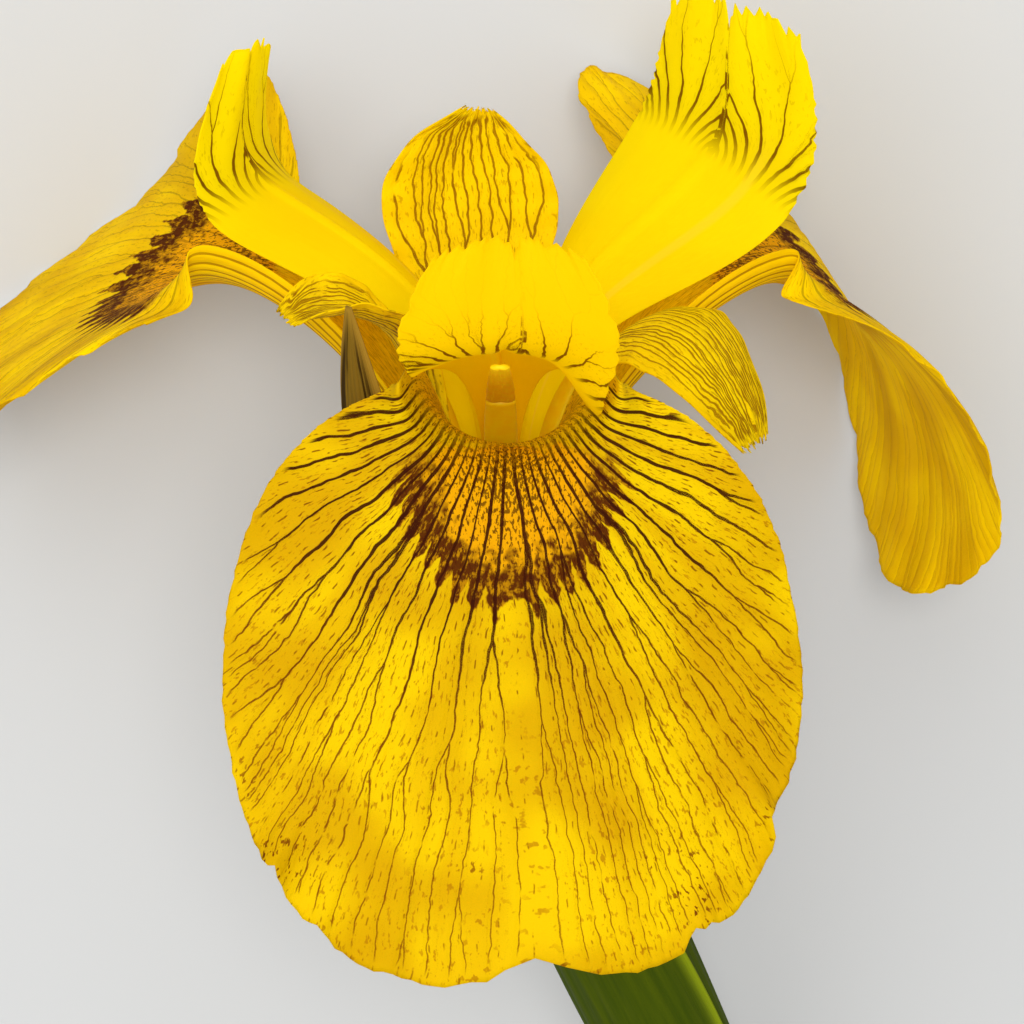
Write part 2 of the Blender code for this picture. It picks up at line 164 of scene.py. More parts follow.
def placeFlower():
    # the tube, turned as it lies, is centred in its box, and the rest follows
    rings = stalkRings(stalkLine(), stalk["tubeTop"], stalk["tubeLength"], stalk["tube"], 8, 12)
    points = rings.reshape(-1, 3) * mm @ turn.T
    low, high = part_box("perianth_tube")
    middle = (np.array(low) + np.array(high)) / 2
    return middle - (points.min(axis=0) + points.max(axis=0)) / 2


shift = placeFlower()
print("flower placed, its origin at", np.round(shift / mm, 2), "mm")


def layDown(points):
    # millimetres on the upright flower to metres where it lies
    return np.asarray(points) * mm @ turn.T + shift


def addAttribute(mesh, name, values):
    # one vector at every vertex
    layer = mesh.attributes.new(name, "FLOAT_VECTOR", "POINT")
    layer.data.foreach_set("vector", np.asarray(values, dtype=np.float32).ravel())


def addVeinMap(mesh, values):
    layer = mesh.uv_layers.new(name="veinMap")
    corners = np.empty(len(mesh.loops), dtype=np.int32)
    mesh.loops.foreach_get("vertex_index", corners)
    layer.data.foreach_set("uv", np.asarray(values, dtype=np.float32)[corners].ravel())


def newPiece(name, node, mesh, materials):
    piece = bpy.data.objects.new(name, mesh)
    bpy.context.scene.collection.objects.link(piece)
    for material in materials:
        mesh.materials.append(material)
    mesh.polygons.foreach_set("use_smooth", [True] * len(mesh.polygons))
    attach(piece, "root")
    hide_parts(node)
    return piece


def bladeMesh(name, points, thickness, veins, gap, edge, flat):
    # A thin closed blade: both faces and a rim round the edge of the grid. Each vertex keeps the
    # spacing of the veins, its distance from the edge and whether it is on the upper face.
    facts = np.stack([gap, edge], axis=-1)
    rows, columns = points.shape[:2]
    normals = gridNormals(points)[0]
    half = normals * (thickness / 2)[..., None]
    upper, lower = points + half, points - half
    index = np.arange(rows * columns).reshape(rows, columns)
    a, b, c, d = index[:-1, :-1], index[1:, :-1], index[1:, 1:], index[:-1, 1:]
    faces = [np.stack([a, b, c, d], axis=-1).reshape(-1, 4)]
    under = rows * columns
    faces.append(np.stack([a, d, c, b], axis=-1).reshape(-1, 4) + under)
    loop = np.concatenate([index[:, 0], index[-1, 1:], index[-2::-1, -1], index[0, -2:0:-1]])
    after = np.roll(loop, -1)
    faces.append(np.stack([after, loop, loop + under, after + under], axis=-1))
    mesh = bpy.data.meshes.new(name)
    everything = layDown(np.concatenate([upper.reshape(-1, 3), lower.reshape(-1, 3)]))
    mesh.from_pydata(everything.tolist(), [], np.concatenate(faces).tolist())
    addVeinMap(mesh, np.tile(veins.reshape(-1, 2), (2, 1)))
    isUpper = np.repeat([1.0, 0.0], under)
    addAttribute(mesh, "surface", np.column_stack([np.tile(facts.reshape(-1, 2), (2, 1)), isUpper]))
    addAttribute(mesh, "flat", np.tile(flat.reshape(-1, 3), (2, 1)))
    mesh.validate()
    return mesh


def veinSpacing(points, across):
    # mm of surface for one unit of the vein coordinate, square to the veins
    normals, along, side = gridNormals(points)
    e, f, g = (along * along).sum(2), (along * side).sum(2), (side * side).sum(2)
    area = np.maximum(e * g - f * f, 1e-9)
    stepAlong, stepSide = np.gradient(across, axis=0), np.gradient(across, axis=1)
    slope = (g * stepAlong ** 2 - 2 * f * stepAlong * stepSide + e * stepSide ** 2) / area
    return 1 / np.sqrt(np.maximum(slope, 1e-6))


def runLength(points):
    steps = np.linalg.norm(np.diff(points, axis=0), axis=2)
    return np.concatenate([np.zeros((1, points.shape[1])), np.cumsum(steps, axis=0)])


def edgeDistance(points):
    # mm to the tip or to a side edge, measured along the grid
    along, side = runLength(points), runLength(points.transpose(1, 0, 2)).T
    return np.minimum(along[-1:] - along, np.minimum(side, side[:, -1:] - side))


def flatPlaces(across, reach, seed):
    # where each point would be on the piece laid flat, with a number of the piece's own
    halfWidth = 9
    wide = across[None, :] * halfWidth + 0 * reach
    return np.stack([wide, reach, np.full(reach.shape, seed * seedStep)], axis=-1)


def bladeThickness(surface, edge):
    # thins from the body to the rim over the last few mm
    rim, body = surface["rim"], surface["thickness"]
    return rim + (body - rim) * smoothStep(0, surface["thinning"], edge)


def atHeights(rows, heights, count=500):
    # the B-spline surface through the control rows, each column read at its own heights
    dense = smoothRows(rows, count)
    columns = dense.shape[1]
    place = np.clip(heights, 0, 1) * (count - 1)
    low = np.minimum(place.astype(int), count - 2)
    share = (place - low)[..., None]
    picked = np.arange(columns)[None, :]
    return dense[low, picked] * (1 - share) + dense[low + 1, picked] * share


def toothLine(values, count, seed, low=0.25):
    # a saw edge, 0 at the points of the teeth and up to 1 in the notches between them
    rng = np.random.default_rng(seed)
    knots = np.sort(rng.uniform(0, 1, count))
    knots = 0.5 * knots + 0.5 * np.linspace(0, 1, count)
    heights = np.where(np.arange(count) % 2, rng.uniform(low, 1, count), rng.uniform(0, 0.25, count))
    return np.interp(values, knots, heights)


# crest: (out, up); haft: (out, up, slope, share of the channel's width, share of its depth)
# slope, bend, swing, roll and turn: how the blade hangs, and how that changes down the blade
# wrap: degrees round the margin to each side; wings: mm that each side lifts near the throat
# lobe: (place and spread in degrees, mm sideways, down and up), a part that stands out
# trims: (place round the margin, width, depth in mm); lifts: (place, width, height in mm)
fallPieces = {
    "fall_front": dict(
        azimuth=-90, crest=(27.5, 18.8), shift=0.8, channel=8.0, depth=7.6,
        haft=((6.5, 7.0, -62, 0.42, 0.35), (13.5, 14.5, -45, 0.78, 0.8), (21.5, 18.4, -18, 1.0, 1.0)),
        slope=62, bend=6, swing=8, roll=0, turn=0, halfWidth=24.5, halfLength=25.4, centre=18.0,
        wrap=(164, 164), squareness=0.66, sideRadius=130, wings=(0, 0), lobe=(0, 30, 0, 0, 0),
        veins=33, ruffle=0.45, seed=11,
        trims=((-0.335, 0.010, 1.2), (-0.24, 0.014, 0.7), (-0.005, 0.012, 2.2), (0.152, 0.009, 1.5),
               (0.176, 0.006, 0.6), (0.335, 0.018, 2.4), (-0.12, 0.02, 0.35), (-0.045, 0.012, 0.5)),
        lifts=((-0.335, 0.022, 2.4), (0.33, 0.024, 2.4), (0.03, 0.03, 0.9), (0.165, 0.03, 1.1),
               (-0.06, 0.04, 0.8), (-0.24, 0.03, 0.8))),
    "fall_left": dict(
        azimuth=150, crest=(29.5, 20.0), shift=0, channel=7.2, depth=6.0,
        haft=((7.0, 6.5, -60, 0.42, 0.35), (14.5, 15.3, -42, 0.78, 0.8), (23.5, 20.0, -18, 1.0, 1.0)),
        slope=15, bend=36, swing=0, roll=-8, turn=-14, halfWidth=21, halfLength=25, centre=18.5,
        wrap=(163, 140), squareness=0.9, sideRadius=90, wings=(16, 5), lobe=(-126, 22, -2, 0, 4),
        veins=26, ruffle=0.5, seed=12,
        trims=((0.3, 0.02, 0.6), (-0.3, 0.02, 0.5)), lifts=((0.62, 0.09, 1.5), (0.35, 0.06, 1.0))),
    "fall_right": dict(
        azimuth=30, crest=(28.0, 20.5), shift=0, channel=7.2, depth=5.4,
        haft=((7.0, 7.0, -60, 0.42, 0.35), (14.5, 15.5, -42, 0.78, 0.8), (23.0, 20.1, -18, 1.0, 1.0)),
        slope=14, bend=104, swing=-5, roll=0, turn=8, halfWidth=20.5, halfLength=26.5, centre=19.0,
        wrap=(150, 165), squareness=0.9, sideRadius=90, wings=(2, 12), lobe=(142, 32, 17, -2.5, -1.5),
        veins=26, ruffle=0.5, seed=13,
        trims=((-0.2, 0.02, 0.6), (0.1, 0.02, 0.8)), lifts=((-0.35, 0.07, 1.2), (-0.1, 0.06, -1.0))),
}
fallSurface = dict(rows=190, columns=241, thickness=0.5, rim=0.14, thinning=4, span=45.0,
                   baseRadius=4.2, baseHalfArc=38.0, collarWidening=1.14, collarDepthShare=0.98,
                   wingReach=24.0, wingLoss=0.85, wingCurl=1.3, reachShares=(0.30, 0.62, 0.86, 1.0))


def bladeAxes(slope, swing, roll):
    slope, swing, roll = radians(slope), radians(swing), radians(roll)
    forward = np.array([cos(slope) * cos(swing), cos(slope) * sin(swing), -sin(slope)])
    level = np.array([-sin(swing), cos(swing), 0.0])
    face = np.cross(forward, level)
    return forward, level * cos(roll) + face * sin(roll), face * cos(roll) - level * sin(roll)


def bladeAxesAt(fall, distance):
    share = max(distance, 0) / fallSurface["span"]
    return bladeAxes(fall["slope"] + fall["bend"] * share, fall["swing"] * min(share * 4, 1),
                     fall["roll"] + fall["turn"] * share)


def bladeCentreLine(fall, crest):
    step, count = 0.25, 240
    points = [np.array(crest, dtype=float)]
    for j in range(count):
        points.append(points[-1] + bladeAxesAt(fall, (j + 0.5) * step)[0] * step)
    return np.arange(count + 1) * step, np.array(points)


def bladePoints(fall, line, sideways, down, lifts):
    distances, centres = line
    result = []
    for across, along, extra in zip(sideways, down, lifts):
        onLine = max(along, 0)
        forward, side, face = bladeAxesAt(fall, onLine)
        centre = np.array([np.interp(onLine, distances, centres[:, k]) for k in range(3)])
        centre = centre + forward * min(along, 0)
        wing = fall["wings"][0 if across < 0 else 1]
        wing *= 1 - fallSurface["wingLoss"] * min(onLine / fallSurface["wingReach"], 1)
        curl = (abs(across) / fallSurface["wingReach"]) ** fallSurface["wingCurl"]
        lift = extra + wing * curl - across ** 2 / (2 * fall["sideRadius"])
        result.append(centre + side * across + face * lift)
    return np.array(result)


def fanShare(across):
    # how far round the margin a column ends, so that the veins beside the throat run out sideways
    return 1.45 * across - 0.45 * across ** 3


def fallRows(fall, across):
    # control rows out from the tube, over the haft's channel and down the blade, with the flat
    # place (sideways, down) of each point on the opened blade
    arc, baseArc = across * pi / 2, across * radians(fallSurface["baseHalfArc"])
    radius = fallSurface["baseRadius"]
    rows = [np.column_stack([radius * np.cos(baseArc), radius * np.sin(baseArc), 0 * across])]
    crest = (fall["crest"][0], fall["shift"], fall["crest"][1])
    channel, depth = fall["channel"], fall["depth"]
    flats = [np.column_stack([across * 3, 0 * across - crest[0] + radius])]
    for out, up, slope, width, deep in fall["haft"]:
        face = bladeAxes(slope, 0, 0)[2]
        centre = np.array([out, fall["shift"] * out / crest[0], up])
        rows.append(centre + np.outer(channel * width * np.sin(arc), (0, 1, 0))
                    + np.outer(depth * deep * (1 - np.cos(arc)), face))
        flats.append(np.column_stack([across * channel * width * 1.3, 0 * across + out - crest[0]]))
    collarAcross = fallSurface["collarWidening"] * channel * np.sin(arc)
    collarUp = fallSurface["collarDepthShare"] * depth * (1 - np.cos(arc))
    rows.append(np.array(crest) + np.outer(collarAcross, (0, 1, 0)) + np.outer(collarUp, (0, 0, 1)))
    flats.append(np.column_stack([collarAcross, -collarUp]))
    fan = np.radians(np.where(across > 0, fall["wrap"][1], fall["wrap"][0])) * fanShare(across)
    marginAcross = fall["halfWidth"] * np.sign(np.sin(fan)) * np.abs(np.sin(fan)) ** fall["squareness"]
    marginDown = fall["centre"] + fall["halfLength"] * np.cos(fan)
    place, spread, moreAcross, moreDown, moreLift = fall["lobe"]
    swell = np.exp(-((np.degrees(fan) - place) / spread) ** 2)
    line = bladeCentreLine(fall, crest)
    for share in fallSurface["reachShares"]:
        part = swell * share ** 2
        sideways = collarAcross + (marginAcross - collarAcross) * share + moreAcross * part
        down = -collarUp + (marginDown + collarUp) * share + moreDown * part
        rows.append(bladePoints(fall, line, sideways, down, moreLift * part))
        flats.append(np.column_stack([sideways, down]))
    return np.array(rows), np.array(flats)


def fallMesh(name, fall):
    rowCount, columnCount = fallSurface["rows"], fallSurface["columns"]
    across = np.linspace(-1, 1, columnCount)
    rows, flats = fallRows(fall, across)
    heights = np.linspace(0, 1, rowCount)[:, None] * np.ones((1, columnCount))
    # nicks in the margin
    bladeLength = np.linalg.norm(flats[-1] - flats[4], axis=1) / 0.5
    trim = np.zeros(columnCount)
    around = fanShare(across)
    for place, width, depth in fall["trims"]:
        step = around - place
        trim += depth * np.where(step < 0, np.exp(step / width), np.exp(-step / width / 2.5))
    trim += 0.22 * (1 + waveSum(across, fall["seed"], (31, 47, 73, 11)))
    heights = heights - trim / bladeLength * heights ** 8
    points = atHeights(rows, heights)
    flat = atHeights(flats, heights)
    reach = runLength(points)
    collarRow = int(np.argmin(np.abs(heights[:, columnCount // 2] - 0.5)))
    reach = reach - reach[collarRow:collarRow + 1]
    edge = edgeDistance(points)
    # ruffles and turned-up places close to the margin
    normals = gridNormals(points)[0]
    near = np.exp(-edge / 5.0) * smoothStep(6, 16, reach)
    lift = near * fall["ruffle"] * waveSum(across, fall["seed"] + 1, (5, 8, 13))[None, :]
    for place, width, height in fall["lifts"]:
        lift += height * np.exp(-((around - place) / width) ** 2)[None, :] * np.exp(-edge / 2.2)
    roll = 0.25 * waveSum(across, fall["seed"] + 2, (2, 3, 4))[None, :] * smoothStep(4, 22, reach)
    pleats = 0.2 * waveSum(around, fall["seed"] + 3, (19, 27, 36))[None, :] * smoothStep(6, 26, reach)
    points = points + normals * (lift + roll + pleats)[..., None]
    veins = (0.3 * across + 0.7 * around)[None, :] * fall["veins"] / 2 + 0 * reach
    gap = veinSpacing(points, veins)
    thickness = bladeThickness(fallSurface, edge)
    placed = turnToAzimuth(points, fall["azimuth"])
    ownNumber = np.full(flat.shape[:2] + (1,), fall["seed"] * seedStep)
    return bladeMesh(name, placed, thickness, np.stack([veins, reach], axis=-1), gap, edge,
                     np.concatenate([flat, ownNumber], axis=-1))


# stations: (out, sideways, up, half width, cup in degrees, roll in degrees)
standardPieces = {
    "standard_back": dict(azimuth=90, stations=(
        (4.2, 0, 0, 1.1, -15, 0), (7.0, 0, 8, 1.5, 20, 0), (11.8, 1.5, 16.5, 4.6, 25, 0),
        (15.4, 3, 25, 9.4, 20, 0), (15.2, 3, 31.8, 7.8, 20, 0), (14.4, 2, 36, 1.0, 10, 0)),
        veins=6, start=15.0, seed=21),
    "standard_left": dict(azimuth=210, stations=(
        (4.2, 0, 0, 1.1, -15, 0), (6.0, 0, 8, 1.6, 20, 0), (8.5, 0, 18, 3.6, 45, 0),
        (12, 0, 24, 5.8, 50, 0), (18, 0, 26, 5.2, 50, 0), (21.5, 0, 25, 1.6, 10, 0)),
        veins=6, start=10.0, seed=22),
    "standard_right": dict(azimuth=330, stations=(
        (4.2, 0, 0, 1.1, -15, 0), (6.0, 0, 10, 1.6, 20, 0), (10, 0, 21, 4.4, -20, 0),
        (17, 0, 26, 8.5, -30, 0), (23, 0, 22.5, 7.5, -30, 0), (26, 0, 14, 2.0, -10, 0)),
        veins=7, start=10.0, seed=23),
}
# start: mm up the arm to the foot of the crest; cleft: (place, width, depth); fans: where the veins
# of the crest's two lobes start; quicken: how much sooner the veins fade; droop: (corner, mm)
stylePieces = {
    "style_arm_front": dict(azimuth=-90, stations=(
        (1.8, 0, 0, 1.2, -50, 0), (1.8, 0, 9, 1.3, -50, 0), (4.5, 0, 18, 3.0, -50, 0),
        (12, 0, 24, 5.6, -50, 0), (21, 0, 27.5, 7.6, -40, 0), (26.5, 0.6, 28.0, 8.5, -30, 0),
        (27.5, 0.8, 32, 10.8, -25, 0), (26, 0.8, 39, 5.0, -20, 0)),
        veins=3.2, start=41.2, cleft=(0.06, 0.04, 0.02), fans=(-0.15, 0.42), teeth=12, ragged=0.010,
        quicken=2.6, droop=(1.0, 3.4), seed=31),
    "style_arm_left": dict(azimuth=150, stations=(
        (1.8, 0, 0, 1.2, -50, 0), (1.8, 0, 9, 1.3, -50, 0), (4.5, 0, 18, 3.0, -50, 0),
        (12, 0, 24, 5.6, -50, 0), (21, 0, 27.5, 7.2, -40, 0), (27, 0, 29.5, 8.0, -30, 0),
        (28, 0, 34, 5.5, -25, 0), (26, -1, 42.5, 3.5, -20, 0)),
        veins=2.4, start=42.0, cleft=(0.1, 0.06, 0.08), fans=(-0.45, 0.45), teeth=6, ragged=0.017,
        quicken=1.0, droop=(-1.0, 1.0), seed=32),
    "style_arm_right": dict(azimuth=30, stations=(
        (1.8, 0, 0, 1.2, -50, 0), (1.8, 0, 9, 1.3, -50, 0), (4.0, 0, 18, 3.0, -50, 10),
        (10, 0, 24.6, 6.4, -40, 20), (18, 0, 29.4, 9.0, -30, 25), (23, 0, 33.0, 10, -20, 25),
        (24, 0, 38, 10, -15, 20), (23.5, 0, 47, 7.0, -10, 15)),
        veins=3.6, start=42.5, cleft=(-0.02, 0.03, 0.03), fans=(-0.5, 0.45), teeth=13, ragged=0.012,
        quicken=1.0, droop=(1.0, 0.0), seed=33),
}
standardSurface = dict(rows=130, columns=91, thickness=0.46, rim=0.14, thinning=3)
styleSurface = dict(rows=170, columns=161, thickness=0.54, rim=0.14, thinning=3, ribHeight=0.35)


def stripSurface(stations, across, heights):
    # a strip along the stations' centre line, each cross-section bent by its cup
    stations = np.array(stations, dtype=float)
    tangents = np.gradient(stations[:, :3], axis=0)
    rows = []
    for station, tangent in zip(stations, tangents):
        half, cup, roll = station[3], radians(station[4]), radians(station[5])
        tangent = tangent / np.linalg.norm(tangent)
        side = np.array([0.0, 1.0, 0.0]) - tangent * tangent[1]
        side = side / np.linalg.norm(side)
        face = np.cross(tangent, side)
        side, face = side * cos(roll) + face * sin(roll), face * cos(roll) - side * sin(roll)
        rows.append(station[:3] + np.outer(half * np.sin(cup * across) / cup, side)
                    + np.outer(half * (1 - np.cos(cup * across)) / cup, face))
    return atHeights(rows, heights)


def standardMesh(name, petal):
    rowCount, columnCount = standardSurface["rows"], standardSurface["columns"]
    across = np.linspace(-1, 1, columnCount)
    heights = np.linspace(0, 1, rowCount)[:, None] * np.ones((1, columnCount))
    trim = 0.012 * (1 + waveSum(across, petal["seed"], (9, 14, 3)))
    heights = heights - trim * heights ** 8
    points = stripSurface(petal["stations"], across, heights)
    reach, edge = runLength(points), edgeDistance(points)
    normals = gridNormals(points)[0]
    wave = 0.35 * waveSum(np.linspace(0, 1, rowCount), petal["seed"] + 1, (3, 5, 8))[:, None]
    points = points + normals * (wave * np.exp(-edge / 3) * np.sign(across)[None, :])[..., None]
    veins = np.sin(across * 1.2)[None, :] / np.sin(1.2) * petal["veins"] / 2 + 0 * heights
    gap = veinSpacing(points, veins)
    thickness = bladeThickness(standardSurface, edge)
    placed = turnToAzimuth(points, petal["azimuth"])
    return bladeMesh(name, placed, thickness, np.stack([veins, reach - petal["start"]], axis=-1), gap,
                     edge, flatPlaces(across, reach, petal["seed"]))


def styleMesh(name, arm):
    rowCount, columnCount = styleSurface["rows"], styleSurface["columns"]
    across = np.linspace(-1, 1, columnCount)
    share = np.linspace(0, 1, rowCount)[:, None]
    place, width, depth = arm["cleft"]
    trim = arm["ragged"] * toothLine((across + 1) / 2, 2 * arm["teeth"] + 1, arm["seed"])
    cleft = depth * np.exp(-np.abs(across - place) / width)
    # one corner of a crest may droop
    corner, droop = arm["droop"]
    heights = share - trim * share ** 25 - (cleft + 0.015 * np.abs(across) ** 3) * share ** 6
    points = stripSurface(arm["stations"], across, heights)
    sag = np.exp(-((across - corner) / 0.3) ** 2)[None, :] * np.exp(-((share - 0.74) / 0.09) ** 2)
    points = points + sag[..., None] * np.array([0.0, 0.0, -droop])
    reach, edge = runLength(points), edgeDistance(points)
    # saw teeth down both sides of the crest
    middle = points[:, columnCount // 2:columnCount // 2 + 1]
    teeth = toothLine(share[:, 0], 81, arm["seed"] + 1)[:, None] * smoothStep(0.72, 0.8, share) * 0.07
    points = middle + (points - middle) * (1 - teeth * np.abs(across)[None, :] ** 12)[..., None]
    normals = gridNormals(points)[0]
    rib = np.exp(-(across / 0.07) ** 2)[None, :] * (1 - smoothStep(0.78, 0.95, share))
    wave = 0.5 * waveSum((across + 1) / 2, arm["seed"] + 2, (2, 3))[None, :] * smoothStep(0.75, 1, share)
    points = points + normals * (styleSurface["ribHeight"] * rib + wave)[..., None]
    # the veins fan out from the foot of each of the crest's two lobes
    left, right = arm["fans"]
    split = (left + right) / 2
    foot = np.where(across < split, left, right)[None, :]
    spread = 0.16 + 0.84 * smoothStep(arm["start"] - 2, arm["start"] + 13, reach)
    fan = (across[None, :] - foot) / spread * arm["veins"] / 2
    veins = fan + np.where(across < split, 0, 40)[None, :]  # so that the two fans differ
    gap = veinSpacing(points, fan)
    gap[:, np.abs(across - split) < 0.03] = 0.3  # mm, where the fans meet
    thickness = bladeThickness(styleSurface, edge)
    placed = turnToAzimuth(points, arm["azimuth"])
    crestReach = (reach - arm["start"]) * arm["quicken"]
    return bladeMesh(name, placed, thickness, np.stack([veins, crestReach], axis=-1), gap, edge,
                     flatPlaces(across, reach, arm["seed"]))


# stations: (centre, radius, half arc in degrees); keel: the azimuth of the fold
spathePieces = {
    "spathe_outer": dict(keel=225, seed=41, stations=(
        ((24.5, 12.0, -78.5), 4.9, 92), ((20.0, 10.1, -67.5), 6.6, 104), ((14.5, 7.2, -53.0), 7.2, 104),
        ((8.0, 3.2, -36.0), 7.0, 92), ((1.5, -1.5, -18.0), 6.0, 78), ((-4.5, -7.0, 0.0), 5.6, 60),
        ((-8.3, -9.8, 13.0), 5.4, 48), ((-9.2, -10.8, 20.5), 5.0, 36), ((-9.8, -10.8, 28.0), 4.4, 4))),
    "spathe_inner": dict(keel=45, seed=42, stations=(
        ((24.5, 12.0, -78.5), 4.5, 76), ((20.0, 10.1, -67.5), 5.1, 86), ((14.5, 7.2, -53.0), 5.6, 98),
        ((9.2, 4.6, -38.5), 5.4, 92), ((5.0, 3.4, -25.0), 5.3, 74), ((3.0, 2.6, -12.0), 5.6, 44),
        ((3.4, 2.8, -2.5), 5.6, 5))),
}
spatheSurface = dict(rows=230, columns=101, thickness=0.56, rim=0.16, thinning=2.5, ribs=12, ribDepth=0.07)


def spatheMesh(name, spathe):
    rowCount, columnCount = spatheSurface["rows"], spatheSurface["columns"]
    across = np.linspace(-1, 1, columnCount)
    centres = np.array([station[0] for station in spathe["stations"]], dtype=float)
    tangents = np.gradient(centres, axis=0)
    keelAngle = radians(spathe["keel"])
    keel = np.array([cos(keelAngle), sin(keelAngle), 0.0])
    rows = []
    for centre, tangent, (_, radius, halfArc) in zip(centres, tangents, spathe["stations"]):
        tangent = tangent / np.linalg.norm(tangent)
        outward = keel - tangent * keel.dot(tangent)
        outward = outward / np.linalg.norm(outward)
        side = np.cross(tangent, outward)
        arc = radians(halfArc) * across
        rows.append(centre + np.outer(radius * np.cos(arc), outward)
                    + np.outer(radius * np.sin(arc), side))
    points = smoothRows(rows, rowCount)
    reach, edge = runLength(points), edgeDistance(points)
    normals = gridNormals(points)[0]
    nearTip = smoothStep(0.72, 0.95, np.linspace(0, 1, rowCount))[:, None]
    ribs = np.cos(across * spatheSurface["ribs"] * pi)[None, :] * (1 + 1.5 * nearTip)
    ribs = spatheSurface["ribDepth"] * ribs * smoothStep(0, 2.5, edge)
    points = points + normals * ribs[..., None]
    veins = across[None, :] * spatheSurface["ribs"] + 0 * reach
    gap = veinSpacing(points, veins)
    thickness = bladeThickness(spatheSurface, edge)
    fromTip = reach[-1:, columnCount // 2:columnCount // 2 + 1] - reach
    return bladeMesh(name, points, thickness, np.stack([veins, fromTip], axis=-1), gap, edge,
                     flatPlaces(across, fromTip, spathe["seed"]))


def ringMesh(name, rings, rise=0.0):
    # a closed body through the rings; rise rounds its ends out by that many mm
    count, sides = rings.shape[:2]
    index = np.arange(count * sides).reshape(count, sides)
    after = np.roll(index, -1, axis=1)
    middles = rings.mean(axis=1)

    def domeTop(end, inner):
        outward = middles[end] - middles[inner]
        return middles[end] + outward / np.linalg.norm(outward) * rise

    bottom, top = domeTop(0, 1), domeTop(-1, -2)
    points = np.concatenate([rings.reshape(-1, 3), [bottom, top]])
    quads = np.stack([index[:-1], after[:-1], after[1:], index[1:]], axis=-1).reshape(-1, 4).tolist()
    low, high = count * sides, count * sides + 1
    quads += [(low, int(b), int(a)) for a, b in zip(index[0], after[0])]
    quads += [(high, int(a), int(b)) for a, b in zip(index[-1], after[-1])]
    mesh = bpy.data.meshes.new(name)
    mesh.from_pydata(layDown(points).tolist(), [], quads)
    steps = np.concatenate([[0], np.cumsum(np.linalg.norm(np.diff(middles, axis=0), axis=1))])
    along = np.concatenate([np.repeat(steps, sides), [steps[0], steps[-1]]])
    angle = np.concatenate([np.tile(np.arange(sides) / sides, count), [0.5, 0.5]])
    ends = np.concatenate([np.zeros(count * sides), [1, 1]])
    radius = np.linalg.norm(rings - middles[:, None], axis=2).ravel()
    aroundCount = 24  # streaks round a stalk
    addVeinMap(mesh, np.column_stack([angle * aroundCount, along]))
    facts = [np.concatenate([radius, [0, 0]]), ends, np.ones_like(ends)]
    addAttribute(mesh, "surface", np.column_stack(facts))
    addAttribute(mesh, "flat", points)
    mesh.validate()
    return mesh


def planePathRings(azimuth, path, radii, ringCount, sides, groove=0.0):
    # rings along a path in the upright plane at that azimuth
    path = smoothRows(path, ringCount)
    radii = smoothRows(radii, ringCount)
    angles = np.arange(sides) * 2 * pi / sides
    rings = []
    for j, (out, up) in enumerate(path):
        back, ahead = path[max(j - 1, 0)], path[min(j + 1, ringCount - 1)]
        tangent = np.array([ahead[0] - back[0], 0.0, ahead[1] - back[1]])
        if j == 0 and up == 0:
            tangent = np.array([0.0, 0.0, 1.0])
        tangent = tangent / np.linalg.norm(tangent)
        face = np.cross(tangent, (0.0, 1.0, 0.0))
        swell = 1 - groove * (1 - np.abs(np.cos(angles))) ** 2
        rings.append(np.array([out, 0.0, up])
                     + np.outer(radii[j][0] * np.cos(angles), (0.0, 1.0, 0.0))
                     + np.outer(radii[j][1] * swell * np.sin(angles), face))
    return turnToAzimuth(np.array(rings), azimuth)


def feed(tree, socket, source):
    # a socket takes a link, or a constant set on it
    if isinstance(source, bpy.types.NodeSocket):
        tree.links.new(source, socket)
    elif source is not None:
        socket.default_value = source


def calc(tree, operation, *sources, clamp=False):
    node = tree.nodes.new("ShaderNodeMath")
    node.operation, node.use_clamp = operation, clamp
    for socket, source in zip(node.inputs, sources):
        feed(tree, socket, source)
    return node.outputs[0]


def chain(tree, operation, sources):
    total = sources[0]
    for source in sources[1:]:
        total = calc(tree, operation, total, source)
    return total


def times(tree, *sources):
    return chain(tree, "MULTIPLY", sources)


def plus(tree, *sources):
    return chain(tree, "ADD", sources)


def minus(tree, first, second):
    return calc(tree, "SUBTRACT", first, second)


def over(tree, first, second):
    return calc(tree, "DIVIDE", first, second)


def absolute(tree, value):
    return calc(tree, "ABSOLUTE", value)


def mixColour(tree, share, first, second):
    node = tree.nodes.new("ShaderNodeMix")
    node.data_type = "RGBA"
    for place, source in ((0, share), (6, first), (7, second)):
        feed(tree, node.inputs[place], source)
    return node.outputs[2]


def mixValue(tree, share, first, second):
    node = tree.nodes.new("ShaderNodeMix")
    for place, source in ((0, share), (2, first), (3, second)):
        feed(tree, node.inputs[place], source)
    return node.outputs[0]


def rise(tree, value, low, high, start=0.0, end=1.0):
    # start below low, end above high, and a smooth step between them
    node = tree.nodes.new("ShaderNodeMapRange")
    node.interpolation_type = "SMOOTHSTEP"
    for socket, source in zip(node.inputs, (value, low, high, start, end)):
        feed(tree, socket, source)
    return node.outputs[0]


def noise(tree, vector, scale, detail=1.0, rough=0.5):
    node = tree.nodes.new("ShaderNodeTexNoise")
    for name, source in (("Vector", vector), ("Scale", scale), ("Detail", detail), ("Roughness", rough)):
        feed(tree, node.inputs[name], source)
    return node.outputs[0]


def bothWays(tree, value, amount):
    # noise turned into a shift to either side
    return times(tree, minus(tree, value, 0.5), amount)


def joinVector(tree, x, y, z=0.0):
    node = tree.nodes.new("ShaderNodeCombineXYZ")
    for socket, source in zip(node.inputs, (x, y, z)):
        feed(tree, socket, source)
    return node.outputs[0]


def splitVector(tree, vector):
    node = tree.nodes.new("ShaderNodeSeparateXYZ")
    feed(tree, node.inputs[0], vector)
    return node.outputs


